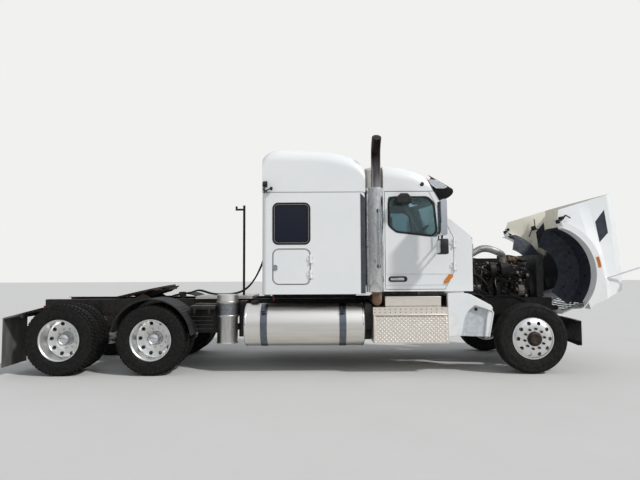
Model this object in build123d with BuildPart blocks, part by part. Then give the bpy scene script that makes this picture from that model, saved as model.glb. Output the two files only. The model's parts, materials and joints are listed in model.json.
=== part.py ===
"""Conventional three-axle tractor unit with a mid-roof sleeper, parked with its hood tipped forward.

Millimetres. +X points forward, +Y to the truck's left and +Z up. The origin lies on the ground under the middle
of the whole truck. Places along the truck are given from the front axle, heights from the ground.
"""
from build123d import *
from math import pi, radians, sqrt, tan
import os

os.makedirs("parts", exist_ok=True)

# Running gear
front_axle_x = 2865
wheelbase = 6180
tandem_spacing = 1321
tyre_radius = 510
tyre_width = 285
bead_radius = 290
rim_width = 230
flange_radius = 298.5
wheel_offset = 167
disc_thickness = 22
disc_bore_radius = 110
hand_hole_radius = 28
hand_hole_circle = 228
front_tyre_y = 1060
dual_disc_y = 918
kingpin_y = 905
kingpin_radius = 25
spindle_radius = 40
axle_stub_radius = 45
bearing_gap = 0.3

# Chassis
rail_outer_y = 432
rail_top = 1060
rail_height = 270
rail_flange = 89
rail_wall = 8
rail_front = 620
rail_back = -7450

# Cab, seen from the side
cab_front = -815
cab_back = -2127
cab_half_width = 1050
cab_bottom = 1189
cab_seam = 2680
cab_wall = 45
neck_back = -2330
neck_half_width = 880
glass_foot_x = -837
glass_foot_z = 2010
glass_lean = 0.48
glass_bow_radius = 2880
door_gap = 8
pane = 6
pane_gap = 0.3

# Sleeper
sleeper_front = -2403
sleeper_back = -3920
sleeper_half_width = 1175
sleeper_bottom = 1158
sleeper_seam = 2654
sleeper_wall = 45
sleeper_corner = 70

# Hood, in its closed place
hood_pivot_x = 680
hood_pivot_z = 898
hood_open_angle = 73
hood_back = -805
hood_wall = 20
arch_x = 30
arch_z = 647
arch_radius = 695
arch_rim = 90
fender_bottom = 1060

# Fifth wheel
fifth_wheel_x = -5900
fifth_wheel_pivot_z = 1130
fifth_wheel_top = 65
fifth_wheel_tilt = 12.2
fifth_wheel_half_width = 457
kingpin_jaw_radius = 25.6

# Sizes that follow from the ones above
axle_z = tyre_radius
drive_axle_x = [-wheelbase + tandem_spacing / 2, -wheelbase - tandem_spacing / 2]
rail_bottom = rail_top - rail_height
rail_inner_y = rail_outer_y - rail_wall
hood_axis = Axis((front_axle_x + hood_pivot_x, 0, hood_pivot_z), (0, 1, 0))


def side(points):
    """Side view points with X from the front axle, as points of a plane that faces the truck's right side."""
    return [(front_axle_x + x, z) for x, z in points]


def keep(part, label):
    """Name a finished piece and write it."""
    part.label = label
    export_step(part, f"parts/{label}.step")


def side_plate(points, y_from, y_to, mode=Mode.ADD):
    """Extrude a side view outline from one distance off the centre line to another, on the right side."""
    with BuildSketch(Plane.XZ.offset(y_from)) as outline:
        Polygon(*side(points), align=None)
    extrude(outline.sketch, amount=y_to - y_from, mode=mode)


def side_block(x_from, x_to, y_from, y_to, z_from, z_to, mode=Mode.ADD):
    """A right side block between two places, two distances off the centre line and two heights."""
    side_plate([(x_from, z_from), (x_to, z_from), (x_to, z_to), (x_from, z_to)], y_from, y_to, mode)


def side_disc(x, z, radius, y_from, y_to, mode=Mode.ADD):
    """A right side cylinder whose axis runs across the truck."""
    with BuildSketch(Plane.XZ.offset(y_from)) as outline:
        with Locations((front_axle_x + x, z)):
            Circle(radius)
    extrude(outline.sketch, amount=y_to - y_from, mode=mode)


# Frame rails: two channels, open inwards, with the hood's hinge plates at their front ends
hinge_plate_radius = 40
hinge_pin_radius = 15
hinge_pin_inner_y = 372

with BuildPart() as frame_rails:
    with BuildSketch(Plane.YZ.offset(front_axle_x + rail_back)):
        with Locations((-rail_outer_y + rail_flange / 2, rail_top - rail_height / 2)):
            Rectangle(rail_flange, rail_height)
        with Locations((-rail_outer_y + rail_flange / 2 + rail_wall, rail_top - rail_height / 2)):
            Rectangle(rail_flange, rail_height - 2 * rail_wall, mode=Mode.SUBTRACT)
    extrude(amount=rail_front - rail_back)
    side_block(rail_front, hood_pivot_x, rail_inner_y, rail_outer_y,
               hood_pivot_z - hinge_plate_radius, hood_pivot_z + hinge_plate_radius)
    side_disc(hood_pivot_x, hood_pivot_z, hinge_plate_radius, rail_inner_y, rail_outer_y)
    side_disc(hood_pivot_x, hood_pivot_z, hinge_pin_radius, hinge_pin_inner_y, rail_inner_y)
    mirror(about=Plane.XZ)
keep(frame_rails.part, "frame_rails")

# Crossmembers: channels between the webs of the rails
crossmember_x = [560, -1000, -1900, -2800, -3700, -4560, -5330, -5900, -6500, -7350]
crossmember_height = 200
crossmember_depth = 80
crossmember_z = rail_top - rail_height / 2

with BuildPart() as crossmembers:
    for x in crossmember_x:
        with BuildSketch(Plane.XZ.offset(-rail_inner_y)):
            with Locations((front_axle_x + x, crossmember_z)):
                Rectangle(crossmember_depth, crossmember_height)
            with Locations((front_axle_x + x + rail_wall, crossmember_z)):
                Rectangle(crossmember_depth, crossmember_height - 2 * rail_wall, mode=Mode.SUBTRACT)
        extrude(amount=2 * rail_inner_y)
keep(crossmembers.part, "crossmembers")

# Bumper: a bowed steel channel on two brackets off the rails
bumper_front = 800
bumper_sweep = 95
bumper_half_width = 1180
bumper_bottom = 407
bumper_top = 758
bumper_wall = 6
bumper_flange = 60
bracket_wall = 12
bow_radius = (bumper_half_width ** 2 + bumper_sweep ** 2) / (2 * bumper_sweep)
bracket_setback = bow_radius - sqrt(bow_radius ** 2 - rail_outer_y ** 2)
bracket_front = bumper_front - bracket_setback - bumper_wall

with BuildPart() as bumper:
    with BuildSketch(Plane.XY.offset(bumper_bottom)):
        with BuildLine():
            end_x = front_axle_x + bumper_front - bumper_sweep
            front = ThreePointArc((end_x, -bumper_half_width), (front_axle_x + bumper_front, 0),
                                  (end_x, bumper_half_width))
            Line(front @ 1, (end_x - bumper_flange, bumper_half_width))
            back = ThreePointArc((end_x - bumper_flange, bumper_half_width),
                                 (front_axle_x + bumper_front - bumper_flange, 0),
                                 (end_x - bumper_flange, -bumper_half_width))
            Line(back @ 1, front @ 0)
        make_face()
    extrude(amount=bumper_top - bumper_bottom)
    with BuildSketch(Plane.XY.offset(bumper_bottom + bumper_wall)):
        with BuildLine():
            inner_x = end_x - bumper_wall
            front = ThreePointArc((inner_x, -bumper_half_width), (front_axle_x + bumper_front - bumper_wall, 0),
                                  (inner_x, bumper_half_width))
            Line(front @ 1, (end_x - 2 * bumper_flange, bumper_half_width))
            back = ThreePointArc((end_x - 2 * bumper_flange, bumper_half_width),
                                 (front_axle_x + bumper_front - 2 * bumper_flange, 0),
                                 (end_x - 2 * bumper_flange, -bumper_half_width))
            Line(back @ 1, front @ 0)
        make_face()
    extrude(amount=bumper_top - bumper_bottom - 2 * bumper_wall, mode=Mode.SUBTRACT)
    for hand in (-1, 1):
        with BuildSketch(Plane.XZ.offset(hand * (rail_outer_y + bracket_wall / 2) - bracket_wall / 2)):
            Polygon(*side([(520, 1010), (520, 830), (640, 735), (bracket_front, 520),
                           (bracket_front, 640), (700, 790), (620, 850), (600, 1010)]), align=None)
        extrude(amount=bracket_wall)
keep(bumper.part, "bumper")

# Engine: one block with its sump, its cover and the gearbox, on the centre line behind the radiator
engine_back = -560
engine_front = 300
gearbox_back = -1480
block_half_width = 300
block_top = 1330
head_half_width = 230
head_top = 1560
manifold_y = 318
manifold_z = 1440
manifold_radius = 42
runner_radius = 27
cylinder_spacing = 118
turbo_x = -230
turbo_y = 400
turbo_z = 1500
compressor_radius = 128
compressor_x = [turbo_x + 30, turbo_x + 160]
# What is bolted round the block, each row: height, distance to the right, radius, start and end along the truck
drum_rows = [
    (1160, 0, 150, engine_front - 10, engine_front + 15),
    (1010, 225, 80, engine_front - 150, engine_front + 15),
    (1425, 150, 62, engine_front - 40, engine_front + 15),
    (turbo_z, turbo_y, 118, turbo_x - 130, turbo_x - 50),
    (turbo_z, turbo_y, 55, turbo_x - 60, turbo_x + 60),
    (turbo_z, turbo_y, compressor_radius, *compressor_x),
]
# Each row: place, distance to the right, foot, top
filter_rows = [(-340, 350, 1080, 1300), (-210, 350, 1080, 1300), (90, 345, 1090, 1270)]
filter_radius = 56


def drum(z, y, radius, x_from, x_to):
    """A cylinder along the truck, at a height and a distance to the right of the centre line."""
    with BuildSketch(Plane.YZ.offset(front_axle_x + x_from)) as outline:
        with Locations((-y, z)):
            Circle(radius)
    extrude(outline.sketch, amount=x_to - x_from)


with BuildPart() as engine_block:
    side_block(gearbox_back, engine_back, -180, 180, 450, 815)
    side_block(engine_back, engine_front, -block_half_width, block_half_width, 680, block_top)
    side_block(engine_back + 80, engine_front - 60, -210, 210, 560, 680)
    side_block(engine_back + 20, engine_front - 20, -head_half_width, head_half_width, block_top, head_top)
    side_block(engine_back + 40, engine_front - 40, -150, 150, head_top, 1690)
    side_block(engine_back, engine_back + 90, block_half_width, rail_inner_y, 850, 940)
    side_block(engine_back, engine_back + 90, -rail_inner_y, -block_half_width, 850, 940)
    for z, y, radius, x_from, x_to in drum_rows:
        drum(z, y, radius, x_from, x_to)
    drum(manifold_z, manifold_y, manifold_radius, engine_back + 60, engine_front - 60)
    for step in range(6):
        runner_x = (engine_back + engine_front) / 2 + (step - 2.5) * cylinder_spacing
        side_disc(runner_x, manifold_z, runner_radius, head_half_width - 5, manifold_y)
    side_block(turbo_x - 40, turbo_x + 40, manifold_y - 20, turbo_y, manifold_z, turbo_z)
    for x, y, z_from, z_to in filter_rows:
        with BuildSketch(Plane.XY.offset(z_from)):
            with Locations((front_axle_x + x, -y)):
                Circle(filter_radius)
        extrude(amount=z_to - z_from)
keep(engine_block.part, "engine_block")

# Axles: a dropped front beam and two drive axle housings with the propeller shafts between them
beam_drop_z = 400
beam_width = 90
boss_half = 60
boss_radius = 50
housing_radius = 70
carrier_radius = 190
shaft_radius = 50

with BuildPart() as axles:
    with BuildSketch(Plane.YZ.offset(front_axle_x - beam_width / 2)):
        Polygon((-kingpin_y, axle_z - 45), (-kingpin_y, axle_z + 45), (-760, axle_z + 30), (-600, beam_drop_z + 55),
                (600, beam_drop_z + 55), (760, axle_z + 30), (kingpin_y, axle_z + 45), (kingpin_y, axle_z - 45),
                (740, axle_z - 50), (590, beam_drop_z - 55), (-590, beam_drop_z - 55), (-740, axle_z - 50),
                align=None)
    extrude(amount=beam_width)
    for hand in (-1, 1):
        with BuildSketch(Plane.XY.offset(axle_z - boss_half)):
            with Locations((front_axle_x, hand * kingpin_y)):
                Circle(boss_radius)
        extrude(amount=2 * boss_half)
        with BuildSketch(Plane.XY.offset(axle_z - boss_half)):
            with Locations((front_axle_x, hand * kingpin_y)):
                Circle(kingpin_radius + 0.05)
        extrude(amount=2 * boss_half, mode=Mode.SUBTRACT)
    for x in drive_axle_x:
        side_disc(x, axle_z, housing_radius, -560, 560)
        side_disc(x, axle_z, axle_stub_radius, -1000, 1000)
        with BuildSketch(Plane.YZ.offset(front_axle_x + x - 150)):
            with Locations((0, axle_z)):
                Circle(carrier_radius)
        extrude(amount=300)
    first, second = drive_axle_x
    with BuildSketch(Plane.YZ.offset(front_axle_x + second + 150)):
        with Locations((0, axle_z + 60)):
            Circle(shaft_radius)
    extrude(amount=tandem_spacing - 300)
    with BuildSketch(Plane.YZ.offset(front_axle_x + first + 150)):
        with Locations((0, axle_z + 60)):
            Circle(shaft_radius)
    extrude(amount=gearbox_back - first - 150)
keep(axles.part, "axles")

# Suspension: leaf packs at the front, trailing arms with air springs at the back
spring_y = 432
spring_width = 100
spring_half = 610
air_spring_radius = 120
air_spring_back = 330

with BuildPart() as suspension:
    beam_top = beam_drop_z + 55
    with BuildSketch(Plane.XZ.offset(spring_y - spring_width / 2)):
        with BuildLine():
            low = ThreePointArc(*side([(-spring_half, 650), (0, beam_top), (spring_half, 650)]))
            Line(low @ 1, side([(spring_half, 720)])[0])
            high = ThreePointArc(*side([(spring_half, 720), (0, beam_top + 60), (-spring_half, 720)]))
            Line(high @ 1, low @ 0)
        make_face()
    extrude(amount=spring_width)
    for x in (-spring_half, spring_half - 80):
        side_block(x, x + 80, spring_y - spring_width / 2, rail_outer_y, 700, rail_bottom)
    for x in drive_axle_x:
        housing_top = axle_z + housing_radius
        pad_top = housing_top - 5
        side_plate([(x + 480, rail_bottom), (x + 400, rail_bottom), (x + 400, 690), (x + 60, housing_top + 50),
                    (x - 60, housing_top + 50), (x - 190, pad_top), (x - 480, pad_top), (x - 480, pad_top - 45),
                    (x - 190, pad_top - 45), (x - 60, housing_top), (x + 60, housing_top), (x + 480, 640)],
                   spring_y - 45, spring_y + 45)
        air_spring_foot = pad_top - 10
        with BuildSketch(Plane.XY.offset(air_spring_foot)):
            with Locations((front_axle_x + x - air_spring_back, -spring_y)):
                Circle(air_spring_radius)
        extrude(amount=rail_bottom - air_spring_foot)
    mirror(about=Plane.XZ)
keep(suspension.part, "suspension")

charge_pipe_radius = 55
with BuildPart() as charge_pipe:
    with BuildLine():
        inlet_x = front_axle_x + (compressor_x[0] + compressor_x[1]) / 2
        FilletPolyline((front_axle_x + cab_front, -560, 1790), (front_axle_x - 640, -560, 1790),
                       (front_axle_x - 470, -520, 1820), (inlet_x, -turbo_y, 1740),
                       (inlet_x, -turbo_y, turbo_z), radius=60)
    with BuildSketch(Plane(origin=(front_axle_x + cab_front, -560, 1790), x_dir=(0, 1, 0), z_dir=(1, 0, 0))):
        Circle(charge_pipe_radius)
    sweep()
    with BuildSketch(Plane.YZ.offset(front_axle_x + compressor_x[0] - pane_gap)):
        with Locations((-turbo_y, turbo_z)):
            Circle(compressor_radius + pane_gap)
    extrude(amount=compressor_x[1] - compressor_x[0] + 2 * pane_gap, mode=Mode.SUBTRACT)
keep(charge_pipe.part, "charge_pipe")

# Radiator with its side tanks and fan shroud
radiator_back = 390
radiator_front = 500
radiator_bottom = 720
radiator_top = 1740
radiator_half_width = 420
radiator_foot = 335
radiator_lift = 12
fan_radius = 315

with BuildPart() as radiator:
    side_block(radiator_back, radiator_front, -radiator_half_width, radiator_half_width,
               rail_top + radiator_lift, radiator_top)
    side_block(radiator_back, radiator_front, -radiator_foot, radiator_foot, radiator_bottom,
               rail_top + radiator_lift)
    for hand in (-1, 1):
        side_block(radiator_back + 25, radiator_front - 25, hand * 385 - 30, hand * 385 + 30, rail_top,
                   rail_top + radiator_lift)
    with BuildSketch(Plane.YZ.offset(front_axle_x + engine_front + 20)):
        with Locations((0, 1180)):
            Circle(fan_radius + 20)
            Circle(fan_radius, mode=Mode.SUBTRACT)
    extrude(amount=radiator_back - engine_front - 20)
keep(radiator.part, "radiator")

# Exhaust stack: an upright pipe in a guard, in the notch between cab and sleeper on the right side
stack_x = -2262
stack_y = 1094
stack_radius = 70
guard_radius = 128
guard_bottom = 1185
guard_top = 2713
stack_top = 3277
stack_tip_y = 1250
stack_tip_z = 3440
stack_elbow_z = 1048

with BuildPart() as exhaust_stack:
    with BuildLine(Plane.YZ.offset(front_axle_x + stack_x)):
        FilletPolyline((-rail_outer_y, stack_elbow_z), (-stack_y, stack_elbow_z), (-stack_y, stack_top),
                       (-stack_tip_y, stack_tip_z), radius=110)
    with BuildSketch(Plane.XZ.offset(rail_outer_y)):
        with Locations((front_axle_x + stack_x, stack_elbow_z)):
            Circle(stack_radius)
    sweep()
    with BuildSketch(Plane.XY.offset(guard_bottom)):
        with Locations((front_axle_x + stack_x, -stack_y)):
            Circle(guard_radius)
    extrude(amount=guard_top - guard_bottom)
keep(exhaust_stack.part, "exhaust_stack")

# Aftertreatment canister, upright behind the sleeper on the right side
canister_x = -4476
canister_y = 830
canister_radius = 155
canister_bottom = 421
canister_top = 1143

with BuildPart() as aftertreatment:
    with BuildSketch(Plane.XY.offset(canister_bottom)):
        with Locations((front_axle_x + canister_x, -canister_y)):
            Circle(canister_radius)
    extrude(amount=canister_top - canister_bottom)
    side_block(canister_x - 40, canister_x + 40, rail_outer_y, canister_y, 860, 940)
keep(aftertreatment.part, "aftertreatment")

# Fuel tanks: round tanks, one on each side, on straps and hangers off the rails
tank_back = -4186
tank_front = -2425
tank_radius = 311
tank_y = 908
tank_z = 700
strap_x = [-3893, -2747]
strap_width = 100
strap_thickness = 5
cap_x = -4050
cap_radius = 52
cap_height = 28

with BuildPart() as fuel_tanks:
    with BuildSketch(Plane.YZ.offset(front_axle_x + tank_back)):
        with Locations((-tank_y, tank_z), (tank_y, tank_z)):
            Circle(tank_radius)
    extrude(amount=tank_front - tank_back)
    fillet(fuel_tanks.edges().filter_by(GeomType.CIRCLE), 35)
    with BuildSketch(Plane.XY.offset(tank_z)):
        with Locations((front_axle_x + cap_x, -tank_y), (front_axle_x + cap_x, tank_y)):
            Circle(cap_radius)
    extrude(amount=tank_radius + cap_height)
keep(fuel_tanks.part, "fuel_tanks")

with BuildPart() as tank_straps:
    for x in strap_x:
        side_block(x - strap_width / 2, x + strap_width / 2, rail_outer_y, tank_y, tank_z - 60, tank_z + 260)
        with BuildSketch(Plane.YZ.offset(front_axle_x + x - strap_width / 2)):
            with Locations((-tank_y, tank_z)):
                Circle(tank_radius + strap_thickness)
        extrude(amount=strap_width)
        with BuildSketch(Plane.YZ.offset(front_axle_x + x - strap_width / 2)):
            with Locations((-tank_y, tank_z)):
                Circle(tank_radius)
        extrude(amount=strap_width, mode=Mode.SUBTRACT)
    mirror(about=Plane.XZ)
keep(tank_straps.part, "tank_straps")

# Step boxes below the doors, each with a plate door, a ledge and a sill above it
step_back = -2305
step_front = -1220
step_bottom = 451
step_ledge = 857
step_top = 963
step_outer_y = 1215
step_inner_y = 640

with BuildPart() as step_boxes:
    side_block(step_back, step_front, step_inner_y, step_outer_y, step_bottom, step_ledge)
    side_block(step_back, step_front, step_inner_y, step_outer_y - 60, step_ledge, step_top)
    side_block(-2119, -1304, step_inner_y, step_outer_y - 110, step_top, 1114)
    side_block(step_back + 60, step_back + 140, rail_outer_y, step_inner_y, 820, 940)
    side_block(step_front - 140, step_front - 60, rail_outer_y, step_inner_y, 820, 940)
    mirror(about=Plane.XZ)
keep(step_boxes.part, "step_boxes")

# Quarter fenders behind the front wheels
quarter_outer_y = 1150
quarter_wall = 20
quarter_inner_y = 660

with BuildPart() as quarter_fenders:
    side_plate([(-1215, 542), (-1215, 1164), (-878, 1150), (-590, 991), (-535, 874), (-610, 524)],
               quarter_outer_y - quarter_wall, quarter_outer_y)
    side_plate([(-1215, 1144), (-1215, 1164), (-878, 1150), (-650, 1024), (-650, 542), (-670, 542),
                (-670, 1012), (-884, 1130)], quarter_inner_y, quarter_outer_y - quarter_wall)
    side_block(-760, -700, rail_outer_y, quarter_inner_y, 980, 1020)
    side_block(-700, -670, quarter_inner_y - 40, quarter_inner_y + 20, 980, 1020)
    mirror(about=Plane.XZ)
keep(quarter_fenders.part, "quarter_fenders")

# Rear mudguards: half round over the first drive axle, a sloped plate and a flap behind the second
guard_arc_radius = 580
guard_sheet = 12
dual_inner_y = 612
dual_outer_y = 1230
flap_x = -7640
flap_bottom = 131
flap_top = 820
plate_slope = (974 - flap_top) / (-7076 - flap_x - guard_sheet)

with BuildPart() as rear_mudguards:
    first, second = drive_axle_x
    with BuildSketch(Plane.XZ.offset(dual_inner_y)):
        with Locations((front_axle_x + first, axle_z)):
            Circle(guard_arc_radius + guard_sheet)
            Circle(guard_arc_radius, mode=Mode.SUBTRACT)
        Polygon(*side([(first - 700, axle_z - 700), (first + 700, axle_z - 700), (first + 700, axle_z + 60),
                       (first - 700, axle_z + 130)]), align=None, mode=Mode.SUBTRACT)
    extrude(amount=dual_outer_y - dual_inner_y)
    side_block(first - 30, first + 30, rail_outer_y, dual_inner_y + 60,
               axle_z + guard_arc_radius - 60, axle_z + guard_arc_radius - 10)
    side_block(first - 30, first + 30, dual_inner_y, dual_inner_y + 60,
               axle_z + guard_arc_radius - 60, axle_z + guard_arc_radius + guard_sheet)
    side_plate([(flap_x, flap_bottom), (flap_x + guard_sheet, flap_bottom), (flap_x + guard_sheet, flap_top),
                (-7076, 974), (-7076, 986), (flap_x, flap_top + 20)], dual_inner_y, dual_outer_y)
    under = [974 + (plate_x + 7076) * plate_slope for plate_x in (-7420, -7380)]
    side_plate([(-7420, 840), (-7380, 840), (-7380, under[1]), (-7420, under[0])], rail_outer_y, dual_outer_y - 60)
    mirror(about=Plane.XZ)
keep(rear_mudguards.part, "rear_mudguards")

# Deck plate behind the sleeper, and the pole that holds the air lines
deck_back = -5050
deck_front = -4150
deck_top = 1100
pole_x = -4352
pole_radius = 20
pole_top = 2605
hook_half = 15
hook_drop = 85
hook_reach = 145
hook_rise = 70

with BuildPart() as deck_plate:
    side_block(deck_back, deck_front, -470, 470, rail_top, deck_top)
keep(deck_plate.part, "deck_plate")

with BuildPart() as pogo_pole:
    with BuildSketch(Plane.XY.offset(deck_top)):
        with Locations((front_axle_x + pole_x, 0)):
            Circle(pole_radius)
    extrude(amount=pole_top - deck_top)
    hook_z = pole_top - hook_drop
    side_block(pole_x - hook_reach, pole_x, -hook_half, hook_half, hook_z, hook_z + 2 * hook_half)
    side_block(pole_x - hook_reach, pole_x - hook_reach + 2 * hook_half, -hook_half, hook_half,
               hook_z, hook_z + hook_rise)
keep(pogo_pole.part, "pogo_pole")

# Air lines: two hoses from the sleeper's back, down to the deck, over a low hump and into a pair of couplings
# Each row: place, distance to the left of the centre line, height
hose_radius = 13
hose_rows = {
    "hose_right": [
        (-3960, -200, 1975), (-3960, -200, 1865), (-3985, -203, 1740), (-4030, -208, 1610), (-4085, -214, 1480),
        (-4150, -222, 1355), (-4235, -230, 1240), (-4345, -236, 1160), (-4480, -236, 1124), (-4620, -228, 1116),
        (-4755, -214, 1118), (-4870, -198, 1130), (-4970, -184, 1160), (-5065, -172, 1186), (-5155, -164, 1168),
        (-5238, -160, 1134), (-5313, -160, 1134)],
    "hose_left": [
        (-3960, -80, 1975), (-3960, -80, 1860), (-3990, -79, 1730), (-4040, -76, 1600), (-4100, -73, 1475),
        (-4170, -74, 1352), (-4260, -80, 1240), (-4375, -90, 1162), (-4510, -100, 1125), (-4650, -104, 1116),
        (-4785, -98, 1119), (-4895, -86, 1134), (-4990, -75, 1166), (-5080, -67, 1190), (-5165, -62, 1169),
        (-5240, -60, 1134), (-5313, -60, 1134)],
}
coupling_z = 1134
coupling_half = 24


def bend_radii(points):
    """For each corner of a route, the largest arc that its two runs leave room for."""
    radii = []
    for before, corner, after in zip(points, points[1:], points[2:]):
        inward = Vector(*corner) - Vector(*before)
        outward = Vector(*after) - Vector(*corner)
        run = min(inward.length, outward.length)
        radii.append(0.45 * run / tan(radians(inward.get_angle(outward)) / 2))
    return radii


for name, rows in hose_rows.items():
    route = [(front_axle_x + x, y, z) for x, y, z in rows]
    radii = bend_radii(route)
    print(name, "tightest bend", round(min(radii)))
    with BuildPart() as hose:
        with BuildLine() as path:
            FilletPolyline(*route, radius=radii)
        with BuildSketch(Plane(origin=route[0], z_dir=(0, 0, -1))):
            Circle(hose_radius)
        sweep()
    length = sum(edge.length for edge in path.edges())
    print(name, "length", round(length), "volume ratio",
          round(hose.part.volume / (length * pi * hose_radius ** 2), 4))
    keep(hose.part, name)

with BuildPart() as hose_connectors:
    for y in (-200, -80):
        with BuildSketch(Plane.XZ.offset(-y - coupling_half)):
            Polygon(*side([(-3928, 1975), (-3928, 2040), (-3950, 2040), (-3984, 2010), (-3984, 1975)]), align=None)
        extrude(amount=2 * coupling_half)
    side_block(-3928, sleeper_back, 40, 260, 1930, 2070)
    for y in (-160, -60):
        side_block(-5393, -5313, -y - coupling_half, -y + coupling_half, coupling_z - 24, coupling_z + 24)
    side_block(-5393, -5313, 20, 200, coupling_z - 36, coupling_z - 24)
    side_block(-5350, -5330, 20, 200, crossmember_z + crossmember_height / 2, coupling_z - 36)
keep(hose_connectors.part, "hose_connectors")

# Fifth wheel: ears on the rails, and the plate that tilts on them
ear_inner_y = 378
ear_outer_y = 424
ear_radius = 28
plate_pin_radius = 18
plate_pin_inner_y = 330
boss_outer_y = 372
plate_thickness = 30

with BuildPart() as fifth_wheel_base:
    side_block(fifth_wheel_x - 250, fifth_wheel_x + 250, ear_inner_y - 30, rail_outer_y, rail_top, rail_top + 12)
    side_plate([(fifth_wheel_x - 120, rail_top + 12), (fifth_wheel_x + 120, rail_top + 12),
                (fifth_wheel_x + ear_radius, fifth_wheel_pivot_z),
                (fifth_wheel_x - ear_radius, fifth_wheel_pivot_z)], ear_inner_y, ear_outer_y)
    side_disc(fifth_wheel_x, fifth_wheel_pivot_z, ear_radius, ear_inner_y, ear_outer_y)
    side_disc(fifth_wheel_x, fifth_wheel_pivot_z, plate_pin_radius, plate_pin_inner_y, ear_inner_y)
    mirror(about=Plane.XZ)
keep(fifth_wheel_base.part, "fifth_wheel_base")

plate_front = 402
plate_back = -472
plate_level = fifth_wheel_pivot_z + fifth_wheel_top
ramp_spread = 180
with BuildPart() as fifth_wheel_plate:
    with BuildSketch(Plane.XY.offset(plate_level - plate_thickness)):
        with BuildLine():
            fw = front_axle_x + fifth_wheel_x
            half = fifth_wheel_half_width
            left = Line((fw - 60, half), (fw + 180, half))
            nose = ThreePointArc(left @ 1, (fw + plate_front, 0), (fw + 180, -half))
            right = Line(nose @ 1, (fw - 60, -half))
            Polyline(right @ 1, (fw + plate_back, -300), (fw + plate_back, -ramp_spread),
                     (fw - 60, -kingpin_jaw_radius), (fw, -kingpin_jaw_radius))
            ThreePointArc((fw, -kingpin_jaw_radius), (fw + kingpin_jaw_radius, 0), (fw, kingpin_jaw_radius))
            Polyline((fw, kingpin_jaw_radius), (fw - 60, kingpin_jaw_radius), (fw + plate_back, ramp_spread),
                     (fw + plate_back, 300), left @ 0)
        make_face()
    extrude(amount=plate_thickness)
    for hand in (-1, 1):
        with BuildSketch(Plane.XZ.offset(hand * (plate_pin_inner_y + boss_outer_y) / 2 - 21)):
            Polygon(*side([(fifth_wheel_x - 70, plate_level - plate_thickness),
                           (fifth_wheel_x - 32, fifth_wheel_pivot_z), (fifth_wheel_x + 32, fifth_wheel_pivot_z),
                           (fifth_wheel_x + 70, plate_level - plate_thickness)]), align=None)
            with Locations((front_axle_x + fifth_wheel_x, fifth_wheel_pivot_z)):
                Circle(32)
            with Locations((front_axle_x + fifth_wheel_x, fifth_wheel_pivot_z)):
                Circle(plate_pin_radius + bearing_gap, mode=Mode.SUBTRACT)
        extrude(amount=42)
plate_axis = Axis((front_axle_x + fifth_wheel_x, 0, fifth_wheel_pivot_z), (0, 1, 0))
keep(fifth_wheel_plate.part.rotate(plate_axis, -fifth_wheel_tilt), "fifth_wheel_plate")


# Hinges of the doors: an upright pin between two lugs on the fixed side, and a knuckle round it on the door
hinge_axis_out = 16
door_pin_radius = 7
door_knuckle_radius = 14
door_knuckle_half = 20
door_hinge_half = 60
hinge_leaf = 12
hinge_leaf_length = 50


def hinge_knuckle(edge_x, panel_y, z_from, z_to, reach, bore=0):
    """A right side knuckle about the hinge's axis, with a leaf that reaches forward or back along the panel."""
    axis_x = front_axle_x + edge_x - door_gap / 2
    axis_y = -panel_y - hinge_axis_out
    with BuildSketch(Plane.XY.offset(z_from)) as outline:
        with Locations((axis_x, axis_y)):
            Circle(door_knuckle_radius)
        with Locations((axis_x + reach / 2, -panel_y - hinge_leaf / 2)):
            Rectangle(abs(reach), hinge_leaf)
        if bore:
            with Locations((axis_x, axis_y)):
                Circle(bore, mode=Mode.SUBTRACT)
    extrude(outline.sketch, amount=z_to - z_from)


def fixed_hinges(edge_x, panel_y, heights):
    """The lugs and pins of both sides' hinges, on the fixed side of the gap."""
    for z in heights:
        hinge_knuckle(edge_x, panel_y, z - door_hinge_half, z - door_knuckle_half, hinge_leaf_length)
        hinge_knuckle(edge_x, panel_y, z + door_knuckle_half, z + door_hinge_half, hinge_leaf_length)
        with BuildSketch(Plane.XY.offset(z - door_knuckle_half)) as pin:
            with Locations((front_axle_x + edge_x - door_gap / 2, -panel_y - hinge_axis_out)):
                Circle(door_pin_radius)
        extrude(pin.sketch, amount=2 * door_knuckle_half)
    mirror(about=Plane.XZ)


def door_knuckles(edge_x, panel_y, heights):
    """The knuckles of a right side door."""
    for z in heights:
        hinge_knuckle(edge_x, panel_y, z - door_knuckle_half + bearing_gap, z + door_knuckle_half - bearing_gap,
                      -hinge_leaf_length, door_pin_radius + bearing_gap)


# Cab: an outer form and an inner form; the wall between them is cut into shell and doors
def cab_cone(inset):
    """The bowed front of the cab above the cowl: a cone about an upright axis far behind the glass."""
    axis_x = front_axle_x + glass_foot_x - glass_bow_radius
    low = glass_foot_z - 100
    high = glass_foot_z + 1300
    foot = front_axle_x + glass_foot_x - inset
    with BuildSketch(Plane.XZ) as profile:
        Polygon((axis_x, low), (foot + 100 * glass_lean, low), (foot - 1300 * glass_lean, high), (axis_x, high),
                align=None)
    revolve(profile.sketch, axis=Axis((axis_x, 0, 0), (0, 0, 1)))


with BuildPart() as cone_outer:
    cab_cone(0)
with BuildPart() as cone_inner:
    cab_cone(cab_wall)
with BuildPart() as glass_outer:
    cab_cone(12)
with BuildPart() as glass_inner:
    cab_cone(12 + pane)

shoulder_width = 110
cowl_side = [(cab_back, cab_bottom), (cab_front, cab_bottom), (cab_front, 1956), (-834, glass_foot_z),
             (cab_back, glass_foot_z)]
shoulder_side = [(-1250, 1956), (cab_front, 1956), (-834, glass_foot_z), (-1132, 2254), (-1250, 2254)]
half = cab_half_width

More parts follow.
